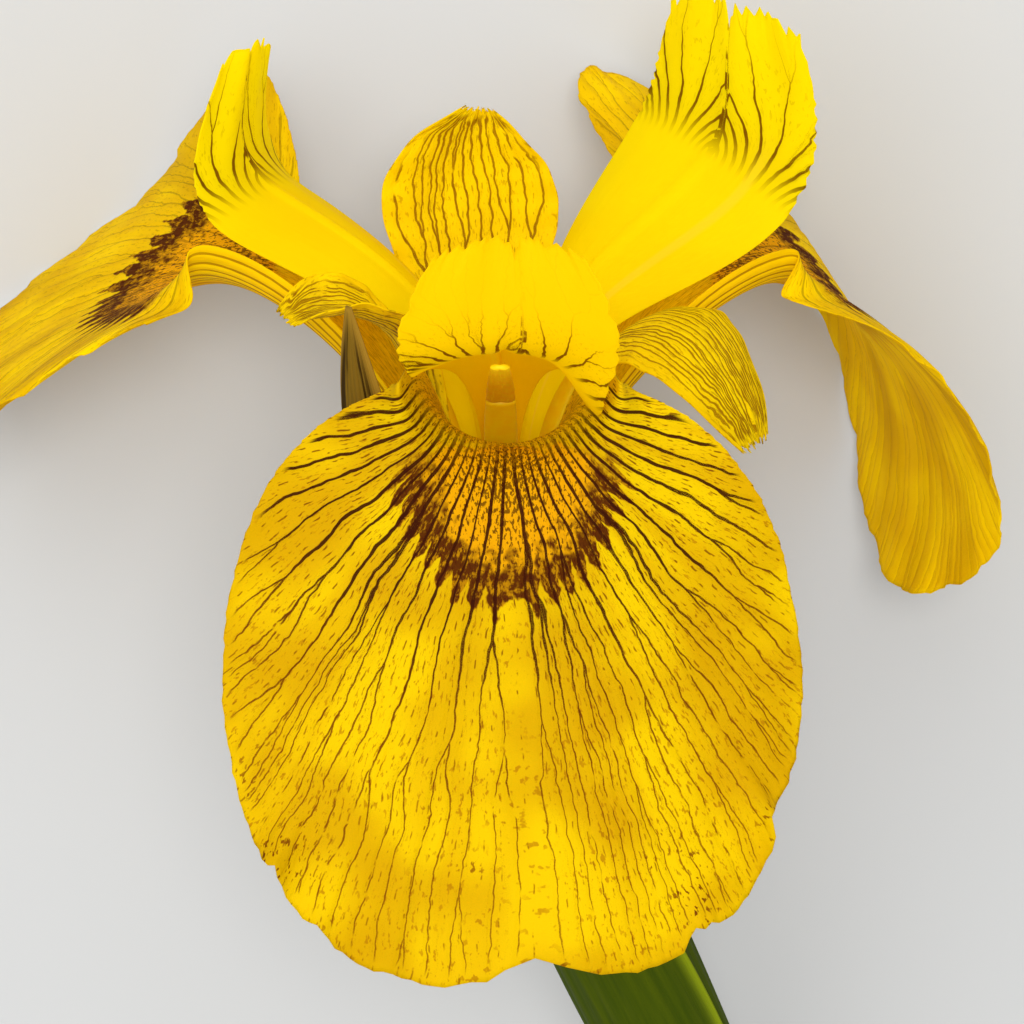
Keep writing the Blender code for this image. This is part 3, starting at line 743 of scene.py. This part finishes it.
def stretch(tree, x, xScale, y, yScale, z=0.0):
    # a place drawn out along one way, for long marks
    return joinVector(tree, times(tree, x, xScale), times(tree, y, yScale), z)


def randomOf(tree, value):
    # three random numbers for each whole number
    node = tree.nodes.new("ShaderNodeTexWhiteNoise")
    node.noise_dimensions = "1D"
    feed(tree, node.inputs["W"], value)
    return splitVector(tree, node.outputs["Color"])


def bumpOf(tree, height, strength, depth):
    node = tree.nodes.new("ShaderNodeBump")
    for name, source in (("Strength", strength), ("Distance", depth), ("Height", height)):
        feed(tree, node.inputs[name], source)
    return node.outputs[0]


def readAttribute(tree, name):
    node = tree.nodes.new("ShaderNodeAttribute")
    node.attribute_name = name
    return node.outputs["Vector"]


def readPlaces(tree):
    # the vein coordinates, the place on the opened piece, and the three facts of each vertex
    node = tree.nodes.new("ShaderNodeUVMap")
    node.uv_map = "veinMap"
    across, reach = splitVector(tree, node.outputs[0])[:2]
    facts = splitVector(tree, readAttribute(tree, "surface"))
    return across, reach, readAttribute(tree, "flat"), *facts


def newGroup(name, inputs, outputs):
    group = bpy.data.node_groups.new(name, "ShaderNodeTree")
    for label, kind, value in inputs:
        socket = group.interface.new_socket(label, in_out="INPUT", socket_type=kind)
        if value is not None:
            socket.default_value = value
    for label, kind in outputs:
        group.interface.new_socket(label, in_out="OUTPUT", socket_type=kind)
    return group, group.nodes.new("NodeGroupInput").outputs, group.nodes.new("NodeGroupOutput").inputs


def useGroup(tree, group, **sources):
    node = tree.nodes.new("ShaderNodeGroup")
    node.node_tree = group
    for name, source in sources.items():
        feed(tree, node.inputs[name], source)
    return node.outputs


aNumber, aVector = "NodeSocketFloat", "NodeSocketVector"


def makeVeinLines():
    # forking veins, broken side veins and specks; reach, gap and the widths are in mm
    t, given, result = newGroup(
        "veinLines",
        [("across", aNumber, 0.0), ("reach", aNumber, 0.0), ("gap", aNumber, 1.0), ("flat", aVector, None),
         ("forkStart", aNumber, 4.0), ("forkSpread", aNumber, 9.0), ("rootWidth", aNumber, 0.34),
         ("endWidth", aNumber, 0.17), ("fade", aNumber, 22.0), ("wander", aNumber, 1.0),
         ("swelling", aNumber, 0.0)],
        [("lines", aNumber), ("dashes", aNumber), ("specks", aNumber), ("fold", aNumber), ("vein", aNumber)])
    reach, gap, flat, spread = given["reach"], given["gap"], given["flat"], given["forkSpread"]
    safeGap = calc(t, "MAXIMUM", gap, 0.3)
    seed = splitVector(t, flat)[2]
    # neighbouring veins sway together, then each one wanders by itself
    sway = plus(t, bothWays(t, noise(t, flat, 0.13), 1.6), bothWays(t, noise(t, flat, 1.1), 0.22))
    sway = times(t, sway, rise(t, reach, -2.0, 7.0, 0.15, 1.0))
    across = plus(t, given["across"], over(t, sway, safeGap))
    cell = calc(t, "FLOOR", across)
    inside = minus(t, minus(t, across, cell), 0.5)
    first = randomOf(t, plus(t, cell, seed, 0.37))
    own = noise(t, stretch(t, cell, 7.31, reach, 0.22, seed), 1.0, 2.0, 0.6)
    ownAmount = over(t, times(t, rise(t, reach, 0.0, 9.0, 0.2, 0.75), given["wander"]), safeGap)
    inside = plus(t, inside, bothWays(t, own, ownAmount))

    def parting(start, amount):
        # how far two branches have parted, opening quickly from the fork
        share = calc(t, "DIVIDE", minus(t, reach, start), spread, clamp=True)
        return times(t, calc(t, "POWER", share, 0.7), amount)

    # each vein forks once, and then each branch kinks and forks again
    forkAt = plus(t, given["forkStart"], times(t, first[0], times(t, spread, 4.0)))
    half = minus(t, absolute(t, inside), parting(forkAt, plus(t, 0.20, times(t, first[1], 0.09))))
    branch = plus(t, times(t, calc(t, "SIGN", inside), 0.31), cell)
    second = randomOf(t, plus(t, branch, seed, 11.7))
    kink = noise(t, stretch(t, branch, 13.7, reach, 0.5, seed), 1.0, 2.0, 0.6)
    half = plus(t, half, over(t, bothWays(t, kink, parting(forkAt, 0.45)), safeGap))
    later = plus(t, forkAt, plus(t, 3.0, times(t, second[0], 22.0)))
    quarter = minus(t, absolute(t, half), parting(later, 0.12))
    away = times(t, absolute(t, quarter), gap)  # mm to the middle of the nearest vein

    # a vein is stout until it forks, thins at each fork and breaks up in patches
    patchy = noise(t, stretch(t, across, 1.7, reach, 0.55, seed), 1.0, 1.0)
    width = mixValue(t, rise(t, reach, 0.0, given["fade"]), given["rootWidth"], given["endWidth"])
    stout = times(t, given["swelling"], times(t, first[2], rise(t, reach, 8.0, 20.0, 1.0, 0.0)))
    parted = plus(t, parting(forkAt, 0.25), parting(later, 0.2))
    stout = plus(t, plus(t, 0.9, stout), times(t, parted, -0.6))
    width = times(t, width, stout, plus(t, 0.5, patchy))
    lines = rise(t, minus(t, away, times(t, width, 0.5)), -0.025, 0.035, 1.0, 0.0)
    faint = plus(t, 0.06, times(t, second[1], 0.17))
    faint = times(t, rise(t, reach, 6.0, 30.0, 0.0, 1.5), faint)
    feed(t, result["lines"], times(t, lines, rise(t, minus(t, patchy, faint), 0.06, 0.20)))

    # broken side veins, four to a cell
    side = times(t, calc(t, "PINGPONG", times(t, across, 4.0), 0.5), 0.25)
    sideLines = rise(t, times(t, side, gap), 0.03, 0.095, 1.0, 0.0)
    dashes = rise(t, noise(t, stretch(t, across, 4.0, reach, 0.8, seed), 1.0, 2.0, 0.6), 0.51, 0.61)
    feed(t, result["dashes"], times(t, sideLines, dashes))

    # specks are drawn out along the veins
    specks = noise(t, stretch(t, across, 10.0, reach, 1.1, seed), 1.0, 2.0, 0.6)
    dense = rise(t, noise(t, flat, 0.25, 1.0), 0.30, 0.58)
    feed(t, result["specks"], times(t, rise(t, specks, 0.57, 0.65), dense))
    feed(t, result["fold"], absolute(t, inside))
    feed(t, result["vein"], away)
    return t


def makeSignalPatch():
    # the dark toothed patch under the throat: where it is, its outer band, blotches and stippling
    t, given, result = newGroup(
        "signalPatch",
        [("flat", aVector, None), ("across", aNumber, 0.0), ("reach", aNumber, 0.0), ("fold", aNumber, 0.0),
         ("size", aNumber, 1.0)],
        [("patch", aNumber), ("band", aNumber), ("stipple", aNumber), ("blotch", aNumber)])
    x, y, seed = splitVector(t, given["flat"])
    wide = times(t, x, 1.2)
    away = calc(t, "SQRT", plus(t, times(t, wide, wide), times(t, y, y)))
    away = over(t, away, given["size"])
    tooth = minus(t, 1.0, times(t, given["fold"], 2.0))
    ragged = minus(t, noise(t, given["flat"], 0.8, 2.0), 0.5)
    limit = plus(t, 10.2, plus(t, times(t, tooth, 2.4), times(t, ragged, 3.0)))
    inside = rise(t, minus(t, away, limit), -0.25, 0.3, 1.0, 0.0)
    # it climbs into the throat in the middle, and stops lower at its sides
    upper = minus(t, minus(t, y, times(t, ragged, 5.0)), times(t, absolute(t, x), 0.6))
    patch = times(t, inside, rise(t, upper, -6.5, -4.5))
    feed(t, result["patch"], patch)
    band = plus(t, away, plus(t, times(t, ragged, 7.0), times(t, tooth, -1.0)))
    feed(t, result["band"], times(t, rise(t, band, 6.4, 8.6), patch))
    blotch = noise(t, stretch(t, given["across"], 3.0, given["reach"], 0.8, seed), 1.0, 3.0, 0.65)
    feed(t, result["blotch"], rise(t, blotch, 0.38, 0.52))
    # stippling is short dashes along the veins, densest just under the throat's middle
    dots = noise(t, stretch(t, x, 4.5, y, 1.7, seed), 1.0, 2.0, 0.6)
    dots = rise(t, minus(t, dots, rise(t, away, 1.0, 7.0, 0.47, 0.57)), -0.01, 0.03)
    feed(t, result["stipple"], times(t, dots, patch))
    return t


def makePetalGrain():
    # the fine cells of a petal, its long furrows and its sunk veins, as a normal
    t, given, result = newGroup(
        "petalGrain",
        [("across", aNumber, 0.0), ("reach", aNumber, 0.0), ("flat", aVector, None), ("vein", aNumber, 0.0),
         ("relief", aNumber, 0.5)],
        [("normal", aVector)])
    cells = noise(t, given["flat"], 5.5, 2.0, 0.6)
    sunk = rise(t, given["vein"], 0.0, 0.45)
    furrows = noise(t, stretch(t, given["across"], 2.0, given["reach"], 0.25), 1.0, 2.0)
    height = plus(t, times(t, cells, 0.25), times(t, sunk, 0.5), times(t, furrows, 0.9))
    feed(t, result["normal"], bumpOf(t, height, given["relief"], 0.00022))
    return t


shared = dict(veins=makeVeinLines(), signal=makeSignalPatch(), grain=makePetalGrain())


def newMaterial(name):
    material = bpy.data.materials.new(name)
    material.use_nodes = True
    tree = material.node_tree
    tree.nodes.clear()
    return material, tree


def finishMaterial(tree, colour, rough, normal=None, through=None, share=0.0, specular=0.3):
    # share is how much of the light the piece lets through, in the colour named through
    shader = tree.nodes.new("ShaderNodeBsdfPrincipled")
    feed(tree, shader.inputs["Base Color"], colour)
    feed(tree, shader.inputs["Roughness"], rough)
    feed(tree, shader.inputs["Specular IOR Level"], specular)
    feed(tree, shader.inputs["Normal"], normal)
    output = tree.nodes.new("ShaderNodeOutputMaterial")
    if through is None:
        tree.links.new(shader.outputs[0], output.inputs[0])
        return
    glow = tree.nodes.new("ShaderNodeBsdfTranslucent")
    feed(tree, glow.inputs["Color"], through)
    feed(tree, glow.inputs["Normal"], normal)
    mix = tree.nodes.new("ShaderNodeMixShader")
    feed(tree, mix.inputs[0], share)
    tree.links.new(shader.outputs[0], mix.inputs[1])
    tree.links.new(glow.outputs[0], mix.inputs[2])
    tree.links.new(mix.outputs[0], output.inputs[0])


tones = dict(
    lemon=(1.0, 0.73, 0.0003, 1), yellow=(0.80, 0.50, 0.0003, 1), deepYellow=(0.68, 0.38, 0.0003, 1),
    # the first two yellows on the next line are painted light on the style arms
    paintedLightStyleYellow=(1.0, 0.765, 0.001, 1), paintedLightSideStyleYellow=(1.0, 0.86, 0.001, 1), paleYellow=(1.0, 0.83, 0.03, 1),
    # the last yellow on the next line is painted light on the side falls
    bladeYellow=(0.87, 0.62, 0.0003, 1), bladeDeep=(0.72, 0.44, 0.0003, 1), paintedLightDeepYellow=(0.92, 0.62, 0.0003, 1),
    # the amber on the next line is partly painted light in the throat
    gold=(0.88, 0.42, 0.001, 1), amberAndPaintedLight=(1.0, 0.70, 0.001, 1),
    maroon=(0.085, 0.014, 0.001, 1), nearBlack=(0.048, 0.007, 0.001, 1), brown=(0.17, 0.035, 0.001, 1),
    olive=(0.30, 0.11, 0.001, 1), speck=(0.46, 0.20, 0.001, 1),
    darkGreen=(0.020, 0.042, 0.001, 1), green=(0.080, 0.105, 0.001, 1), limeGreen=(0.26, 0.32, 0.004, 1),
    dryDark=(0.040, 0.020, 0.002, 1), dryBrown=(0.17, 0.095, 0.008, 1), straw=(0.36, 0.20, 0.02, 1),
    # the stem's two greens on the next line are darkened in part as painted shade
    stemDarkAndShade=(0.026, 0.042, 0.001, 1), stemGreenAndShade=(0.12, 0.145, 0.001, 1),
    pith=(0.42, 0.48, 0.20, 1), bundle=(0.20, 0.30, 0.07, 1))

# fork places, widths and wander in mm
veinStyles = dict(
    fall=dict(forkStart=3.0, forkSpread=5.5, rootWidth=0.165, endWidth=0.155, fade=30.0, swelling=1.1),
    standard=dict(forkStart=1.0, forkSpread=4.0, rootWidth=0.40, endWidth=0.26, fade=16.0, wander=1.8),
    style=dict(forkStart=2.0, forkSpread=5.0, rootWidth=0.42, endWidth=0.13, fade=12.0, wander=1.5))


def fallMaterial(name, vividness, patchSize, light, deep):
    # vividness is how strongly the veins and their broken side lines show, light and deep its two yellows
    material, t = newMaterial(name)
    across, reach, flat, gap, edge, upper = readPlaces(t)
    marks = useGroup(t, shared["veins"], across=across, reach=reach, gap=gap, flat=flat,
                     **veinStyles["fall"])
    sign = useGroup(t, shared["signal"], flat=flat, across=across, reach=reach, fold=marks["fold"],
                    size=patchSize)
    base = mixColour(t, rise(t, noise(t, flat, 0.12, 1.0), 0.35, 0.65), light, deep)
    # darker streaks down the blade are painted shade of its long folds
    pleatShade = noise(t, stretch(t, across, 0.55, reach, 0.03, 3.0), 1.0, 2.0)
    base = mixColour(t, rise(t, pleatShade, 0.45, 0.66, 0.0, 0.5), base, tones["deepYellow"])
    # the throat's walls are amber, and lighter than the blade as painted light against the throat's shade
    base = mixColour(t, rise(t, reach, -9.0, -1.0, 0.6, 0.0), base, tones["amberAndPaintedLight"])
    # brown marks gather in the folds towards the lower margin
    folds = noise(t, stretch(t, across, 0.8, reach, 0.07, 5.0), 1.0, 1.0)
    folds = times(t, rise(t, folds, 0.50, 0.60), rise(t, reach, 24.0, 36.0))
    colour = mixColour(t, times(t, marks["specks"], 0.75 * vividness), base, tones["speck"])
    marked = times(t, marks["specks"], folds, 0.95 * vividness)
    colour = mixColour(t, marked, colour, tones["brown"])
    dashTone = mixColour(t, rise(t, reach, 8.0, 28.0), tones["brown"], tones["olive"])
    dashShare = rise(t, reach, 8.0, 30.0, 0.85 * vividness, 0.75 * vividness)
    colour = mixColour(t, times(t, marks["dashes"], dashShare), colour, dashTone)
    # the patch is golden and stippled inside, with a maroon band round it
    golden = mixColour(t, times(t, sign["patch"], 0.9), colour, tones["gold"])
    golden = mixColour(t, times(t, sign["stipple"], 0.78), golden, tones["nearBlack"])
    bandCover = times(t, sign["band"], mixValue(t, sign["blotch"], 0.45, 0.97))
    colour = mixColour(t, bandCover, golden, tones["maroon"])
    veinTone = mixColour(t, rise(t, reach, 10.0, 24.0), tones["nearBlack"], tones["brown"])
    veinTone = mixColour(t, rise(t, reach, 22.0, 42.0, 0.0, 0.5), veinTone, tones["olive"])
    strength = rise(t, reach, 12.0, 40.0, 0.97 * vividness, 0.85 * vividness)
    strength = times(t, strength, rise(t, edge, 0.5, 1.5), rise(t, reach, -9.0, 0.5, 0.25, 1.0))
    colour = mixColour(t, times(t, marks["lines"], strength), colour, veinTone)
    # the underside shows the same veins, paler
    veinShare = rise(t, reach, -6.0, 12.0, 0.75, 0.3)
    under = mixColour(t, times(t, marks["lines"], veinShare), base, tones["olive"])
    under = mixColour(t, times(t, sign["patch"], 0.5), under, tones["gold"])
    colour = mixColour(t, upper, under, colour)
    normal = useGroup(t, shared["grain"], across=across, reach=reach, flat=flat, vein=marks["vein"],
                      relief=0.6)[0]
    finishMaterial(t, colour, 0.6, normal, colour, share=0.42, specular=0.03)
    return material


def standardMaterial():
    material, t = newMaterial("standardPetal")
    across, reach, flat, gap, edge, _ = readPlaces(t)
    marks = useGroup(t, shared["veins"], across=across, reach=plus(t, reach, 4.0), gap=gap, flat=flat,
                     **veinStyles["standard"])
    broad = rise(t, noise(t, flat, 0.15, 1.0), 0.3, 0.75, 0.0, 0.4)
    base = mixColour(t, broad, tones["lemon"], tones["yellow"])
    base = mixColour(t, times(t, marks["specks"], 0.5), base, tones["speck"])
    base = mixColour(t, times(t, marks["dashes"], 0.5), base, tones["olive"])
    tone = mixColour(t, rise(t, reach, 4.0, 20.0), tones["brown"], tones["olive"])
    strength = times(t, rise(t, edge, 0.3, 1.2, 0.0, 0.85), rise(t, reach, -8.0, 0.0))
    colour = mixColour(t, times(t, marks["lines"], strength), base, tone)
    normal = useGroup(t, shared["grain"], across=across, reach=reach, flat=flat, vein=marks["vein"],
                      relief=0.6)[0]
    finishMaterial(t, colour, 0.6, normal, colour, share=0.38, specular=0.03)
    return material


def styleMaterial(name, ground):
    # ground is the yellow of the arm, lighter than the falls' yellows as painted light, which pales along
    # its rib
    material, t = newMaterial(name)
    across, reach, flat, gap, _, _ = readPlaces(t)
    marks = useGroup(t, shared["veins"], across=across, reach=plus(t, reach, 3.0), gap=gap, flat=flat,
                     **veinStyles["style"])
    broad = rise(t, noise(t, flat, 0.15, 1.0), 0.3, 0.75, 0.0, 0.18)
    base = mixColour(t, broad, ground, tones["lemon"])
    onRib = times(t, rise(t, absolute(t, across), 0.25, 0.8, 0.8, 0.0), rise(t, reach, -4.0, 4.0, 1.0, 0.0))
    base = mixColour(t, onRib, base, tones["paleYellow"])
    tone = mixColour(t, rise(t, reach, 3.0, 14.0), tones["brown"], tones["olive"])
    # veins show only near the foot of the crest
    here = times(t, rise(t, reach, -2.5, 2.0), rise(t, reach, 6.0, 15.0, 0.9, 0.06))
    colour = mixColour(t, times(t, marks["lines"], here), base, tone)
    colour = mixColour(t, times(t, marks["specks"], here, 0.25), colour, tones["olive"])
    normal = useGroup(t, shared["grain"], across=across, reach=reach, flat=flat, vein=0.5, relief=0.25)[0]
    finishMaterial(t, colour, 0.6, normal, colour, share=0.68, specular=0.03)
    return material


def spatheMaterial():
    # green with a lime margin, withering to dry brown stripes towards the tip
    material, t = newMaterial("spatheLeaf")
    across, fromTip, flat, _, edge, _ = readPlaces(t)
    streak = noise(t, stretch(t, across, 1.0, fromTip, 0.05, splitVector(t, flat)[2]), 1.3, 3.0, 0.6)
    green = mixColour(t, streak, tones["darkGreen"], tones["green"])
    green = mixColour(t, rise(t, edge, 0.2, 1.8, 0.9, 0.0), green, tones["limeGreen"])
    stripe = calc(t, "PINGPONG", plus(t, across, times(t, streak, 3.0)), 0.9)
    dry = mixColour(t, rise(t, stripe, 0.25, 0.6), tones["dryDark"], tones["dryBrown"])
    dry = mixColour(t, rise(t, edge, 0.1, 1.2, 0.85, 0.0), dry, tones["straw"])
    wither = rise(t, plus(t, fromTip, times(t, streak, 10.0)), 14.0, 34.0, 1.0, 0.0)
    colour = mixColour(t, wither, green, dry)
    finishMaterial(t, colour, 0.6, bumpOf(t, streak, 0.5, 0.0003), colour, share=0.12, specular=0.03)
    return material


def stemMaterial():
    # streaked green skin, darkened in part as painted shade of the fall that lies over the stem, and pith
    # with its bundles on the cut ends
    material, t = newMaterial("stemSkin")
    around, along, flat, _, ends, _ = readPlaces(t)
    streak = noise(t, joinVector(t, around, times(t, along, 0.04)), 1.0, 3.0, 0.6)
    green = mixColour(t, streak, tones["stemDarkAndShade"], tones["stemGreenAndShade"])
    cut = mixColour(t, rise(t, noise(t, flat, 2.2, 1.0), 0.58, 0.68), tones["pith"], tones["bundle"])
    colour = mixColour(t, rise(t, ends, 0.1, 0.3), green, cut)
    finishMaterial(t, colour, 0.5, bumpOf(t, streak, 0.4, 0.0003), specular=0.05)
    return material


def mottledMaterial(name, low, high, scale, rough, share=0.0):
    material, t = newMaterial(name)
    mottle = noise(t, readAttribute(t, "flat"), scale, 3.0, 0.6)
    colour = mixColour(t, rise(t, mottle, 0.3, 0.7), low, high)
    finishMaterial(t, colour, rough, bumpOf(t, mottle, 0.4, 0.0002), colour if share else None, share)
    return material


materials = dict(
    fall=fallMaterial("fallPetal", 1.0, 1.0, tones["bladeYellow"], tones["bladeDeep"]),
    # the side falls' two yellows are painted light: lighter than the front fall's for the light they lose
    # lying away from the lamps
    sideFall=fallMaterial("fallPetalSoft", 0.42, 1.3, tones["lemon"], tones["paintedLightDeepYellow"]),
    standard=standardMaterial(),
    # the style arms' ground yellows are painted light: lighter than the falls' for the light the arms catch
    # facing up
    style=styleMaterial("stylePetal", tones["paintedLightStyleYellow"]),
    sideStyle=styleMaterial("stylePetalSoft", tones["paintedLightSideStyleYellow"]),
    spathe=spatheMaterial(),
    stem=stemMaterial(),
    filament=mottledMaterial("filamentSkin", (1.0, 0.74, 0.001, 1), (1.0, 0.82, 0.002, 1), 0.8, 0.5, 0.45),
    anther=mottledMaterial("antherSkin", (1.0, 0.74, 0.001, 1), (1.0, 0.82, 0.002, 1), 0.8, 0.55, 0.45),
    pollen=mottledMaterial("pollenGrain", (1.0, 0.74, 0.005, 1), (1.0, 0.84, 0.01, 1), 3.0, 0.7, 0.4),
    tube=mottledMaterial("tubeSkin", (0.42, 0.42, 0.02, 1), (0.62, 0.52, 0.02, 1), 0.6, 0.45),
    ovary=mottledMaterial("ovarySkin", (0.06, 0.16, 0.01, 1), (0.14, 0.27, 0.02, 1), 0.5, 0.42))
print("materials made:", len(materials))

for name, fall in fallPieces.items():
    finish = materials["fall" if name == "fall_front" else "sideFall"]
    newPiece(name.replace("fall_", "fallBlade_"), name, fallMesh(name, fall), [finish])
for name, petal in standardPieces.items():
    mesh = standardMesh(name, petal)
    newPiece(name.replace("standard_", "standardBlade_"), name, mesh,
             [materials["standard"]])
for name, arm in stylePieces.items():
    finish = materials["style" if name == "style_arm_front" else "sideStyle"]
    newPiece(name.replace("style_arm_", "styleBlade_"), name, styleMesh(name, arm), [finish])
print("petals and style arms made")
for name, spathe in spathePieces.items():
    newPiece(name + "_leaf", name, spatheMesh(name, spathe), [materials["spathe"]])

line = stalkLine()
ovaryStart = stalk["tubeTop"] + stalk["tubeLength"] + stalk["seatGap"]
stemStart = ovaryStart + stalk["ovaryLength"] + stalk["seatGap"]
# ribs: how many, and how deep in mm
stalkPieces = dict(
    perianth_tube=dict(name="tube_body", slot="tube", start=stalk["tubeTop"], length=stalk["tubeLength"],
                       rings=40, sides=72, lobes=0.0, ribs=(18, 0.05), endRise=0.0),
    ovary=dict(name="ovary_body", slot="ovary", start=ovaryStart, length=stalk["ovaryLength"],
               rings=70, sides=72, lobes=0.06, ribs=(6, 0.08), endRise=0.0),
    stem=dict(name="stem_body", slot="stem", start=stemStart, length=stalk["length"] - stemStart,
              rings=220, sides=96, lobes=0.0, ribs=(24, 0.045), endRise=0.12))
for node, part in stalkPieces.items():
    rings = stalkRings(line, part["start"], part["length"], stalk[part["slot"]], part["rings"],
                       part["sides"], part["lobes"], part["ribs"])
    mesh = ringMesh(part["name"], rings, part["endRise"])
    newPiece(part["name"], node, mesh, [materials[part["slot"]]])
print("spathes and stalk made")

# paths: (out, up) in mm; radii: (sideways, face)
stamens = dict(
    azimuths=dict(front=-90, left=150, right=30),
    filament=dict(path=((3.0, 0.0), (3.1, 6.0), (5.4, 12.0), (9.2, 17.0)),
                  radii=((0.8, 0.5), (1.5, 0.5), (1.7, 0.45), (1.3, 0.4)),
                  rings=40, sides=24, groove=0.0, endRise=0.0),
    anther=dict(path=((9.5, 17.35), (13.5, 20.3), (19.0, 23.8), (25.2, 26.9)),
                radii=((1.3, 0.5), (1.2, 0.6), (0.95, 0.45), (0.8, 0.3)),
                rings=60, sides=40, groove=0.35, endRise=0.2))


def stamenMesh(name, azimuth, part):
    rings = planePathRings(azimuth, part["path"], part["radii"], part["rings"], part["sides"],
                           part["groove"])
    return ringMesh(name, rings, part["endRise"])


for name, azimuth in stamens["azimuths"].items():
    mesh = stamenMesh("filament_" + name, azimuth, stamens["filament"])
    newPiece("filament_stalk_" + name, "filament_" + name, mesh, [materials["filament"]])
    mesh = stamenMesh("anther_" + name, azimuth, stamens["anther"])
    newPiece("anther_body_" + name, "anther_" + name, mesh, [materials["anther"]])


# sizes in metres, and grains to a square metre of anther
pollen = dict(radius=0.00005, perArea=2.0e6, sizes=(0.6, 1.2), seeds=dict(front=5, left=6, right=7))


def makePollenTree():
    # grains scattered over an anther
    tree = bpy.data.node_groups.new("pollenGrains", "GeometryNodeTree")
    tree.interface.new_socket("Anther", in_out="INPUT", socket_type="NodeSocketGeometry")
    for label, kind in (("Grain radius", "NodeSocketFloat"), ("Grains per area", "NodeSocketFloat"),
                        ("Seed", "NodeSocketInt")):
        tree.interface.new_socket(label, in_out="INPUT", socket_type=kind)
    tree.interface.new_socket("Grains", in_out="OUTPUT", socket_type="NodeSocketGeometry")
    link = tree.links.new
    given = tree.nodes.new("NodeGroupInput").outputs
    result = tree.nodes.new("NodeGroupOutput").inputs
    scatter = tree.nodes.new("GeometryNodeDistributePointsOnFaces")
    grain = tree.nodes.new("GeometryNodeMeshIcoSphere")
    grain.inputs["Subdivisions"].default_value = 1
    sizes = tree.nodes.new("FunctionNodeRandomValue")
    sizes.inputs[2].default_value, sizes.inputs[3].default_value = pollen["sizes"]
    place = tree.nodes.new("GeometryNodeInstanceOnPoints")
    real = tree.nodes.new("GeometryNodeRealizeInstances")
    paint = tree.nodes.new("GeometryNodeSetMaterial")
    paint.inputs["Material"].default_value = materials["pollen"]
    link(given["Anther"], scatter.inputs["Mesh"])
    link(given["Grains per area"], scatter.inputs["Density"])
    link(given["Seed"], scatter.inputs["Seed"])
    link(given["Seed"], sizes.inputs["Seed"])
    link(given["Grain radius"], grain.inputs["Radius"])
    link(scatter.outputs["Points"], place.inputs["Points"])
    link(grain.outputs["Mesh"], place.inputs["Instance"])
    link(sizes.outputs[1], place.inputs["Scale"])
    link(place.outputs["Instances"], real.inputs["Geometry"])
    link(real.outputs["Geometry"], paint.inputs["Geometry"])
    link(paint.outputs["Geometry"], result["Grains"])
    return tree


def pollenMesh(anther, tree, seed):
    carrier = bpy.data.objects.new("pollenCarrier", anther.data)
    bpy.context.scene.collection.objects.link(carrier)
    grow = carrier.modifiers.new("grains", "NODES")
    grow.node_group = tree
    values = {"Grain radius": pollen["radius"], "Grains per area": pollen["perArea"], "Seed": seed}
    for socket in tree.interface.items_tree:
        if socket.name in values:
            grow[socket.identifier] = values[socket.name]
    mesh = bpy.data.meshes.new_from_object(carrier.evaluated_get(bpy.context.evaluated_depsgraph_get()))
    bpy.data.objects.remove(carrier)
    return mesh


pollenTree = makePollenTree()
for name, seed in pollen["seeds"].items():
    mesh = pollenMesh(bpy.data.objects["anther_body_" + name], pollenTree, seed)
    newPiece("pollen_grains_" + name, "anther_" + name, mesh, [])  # the tree gives it its material
print("stamens and their pollen made")

middle = (Vector(cadBox[0]) + Vector(cadBox[1])) / 2
room = dict(floorReach=6.0, floorTone=(0.50, 0.50, 0.49, 1), skyTone=(0.95, 0.97, 1.0, 1), skyStrength=0.95)
# places are measured from the middle of the flower, in metres
lights = dict(
    skyLight=dict(place=(-0.15, 0.45, 0.75), size=0.9, power=4.2),
    frontLight=dict(place=(0.10, 0.36, 0.92), size=0.25, power=3.2))


def addFloor():
    r = room["floorReach"]
    mesh = bpy.data.meshes.new("floor")
    mesh.from_pydata([(-r, -r, 0), (r, -r, 0), (r, r, 0), (-r, r, 0)], [], [(0, 1, 2, 3)])
    floor = bpy.data.objects.new("floor", mesh)
    bpy.context.scene.collection.objects.link(floor)
    material, t = newMaterial("floorPaper")
    finishMaterial(t, room["floorTone"], 0.9, specular=0.1)
    mesh.materials.append(material)


def addLight(name, place, size, power):
    # a round lamp that looks at the middle of the flower
    data = bpy.data.lights.new(name, "AREA")
    data.shape, data.size, data.energy = "DISK", size, power
    lamp = bpy.data.objects.new(name, data)
    lamp.location = middle + Vector(place)
    lamp.rotation_euler = (-Vector(place)).to_track_quat("-Z", "Y").to_euler()
    bpy.context.scene.collection.objects.link(lamp)


def addSky():
    world = bpy.data.worlds.new("room")
    world.use_nodes = True
    sky = world.node_tree.nodes["Background"]
    sky.inputs["Color"].default_value = room["skyTone"]
    sky.inputs["Strength"].default_value = room["skyStrength"]
    bpy.context.scene.world = world


addFloor()
for name, light in lights.items():
    addLight(name, light["place"], light["size"], light["power"])
addSky()

# the camera looks down on the laid flower, 25 degrees above its front
camera = dict(rise=25.0, target=(1.0, -29.0, 15.5), distance=320.0, lens=135.9, sensor=36.0,
              clip=(0.01, 30.0))


def addCamera():
    # rise, target and distance are in the upright flower's own frame
    angle = radians(camera["rise"])
    back = turn @ np.array([0.0, -cos(angle), sin(angle)])
    upward = turn @ np.array([0.0, sin(angle), cos(angle)])
    right = np.cross(upward, back)
    place = layDown(camera["target"]) + back * camera["distance"] * mm
    data = bpy.data.cameras.new("camera")
    data.lens, data.sensor_width = camera["lens"], camera["sensor"]
    data.clip_start, data.clip_end = camera["clip"]
    eye = bpy.data.objects.new("camera", data)
    rows = [[right[k], upward[k], back[k], place[k]] for k in range(3)]
    eye.matrix_world = Matrix(rows + [[0, 0, 0, 1]])
    bpy.context.scene.collection.objects.link(eye)
    bpy.context.scene.camera = eye


addCamera()
bpy.context.scene.view_settings.view_transform = "Standard"
print("floor, lights and camera set")
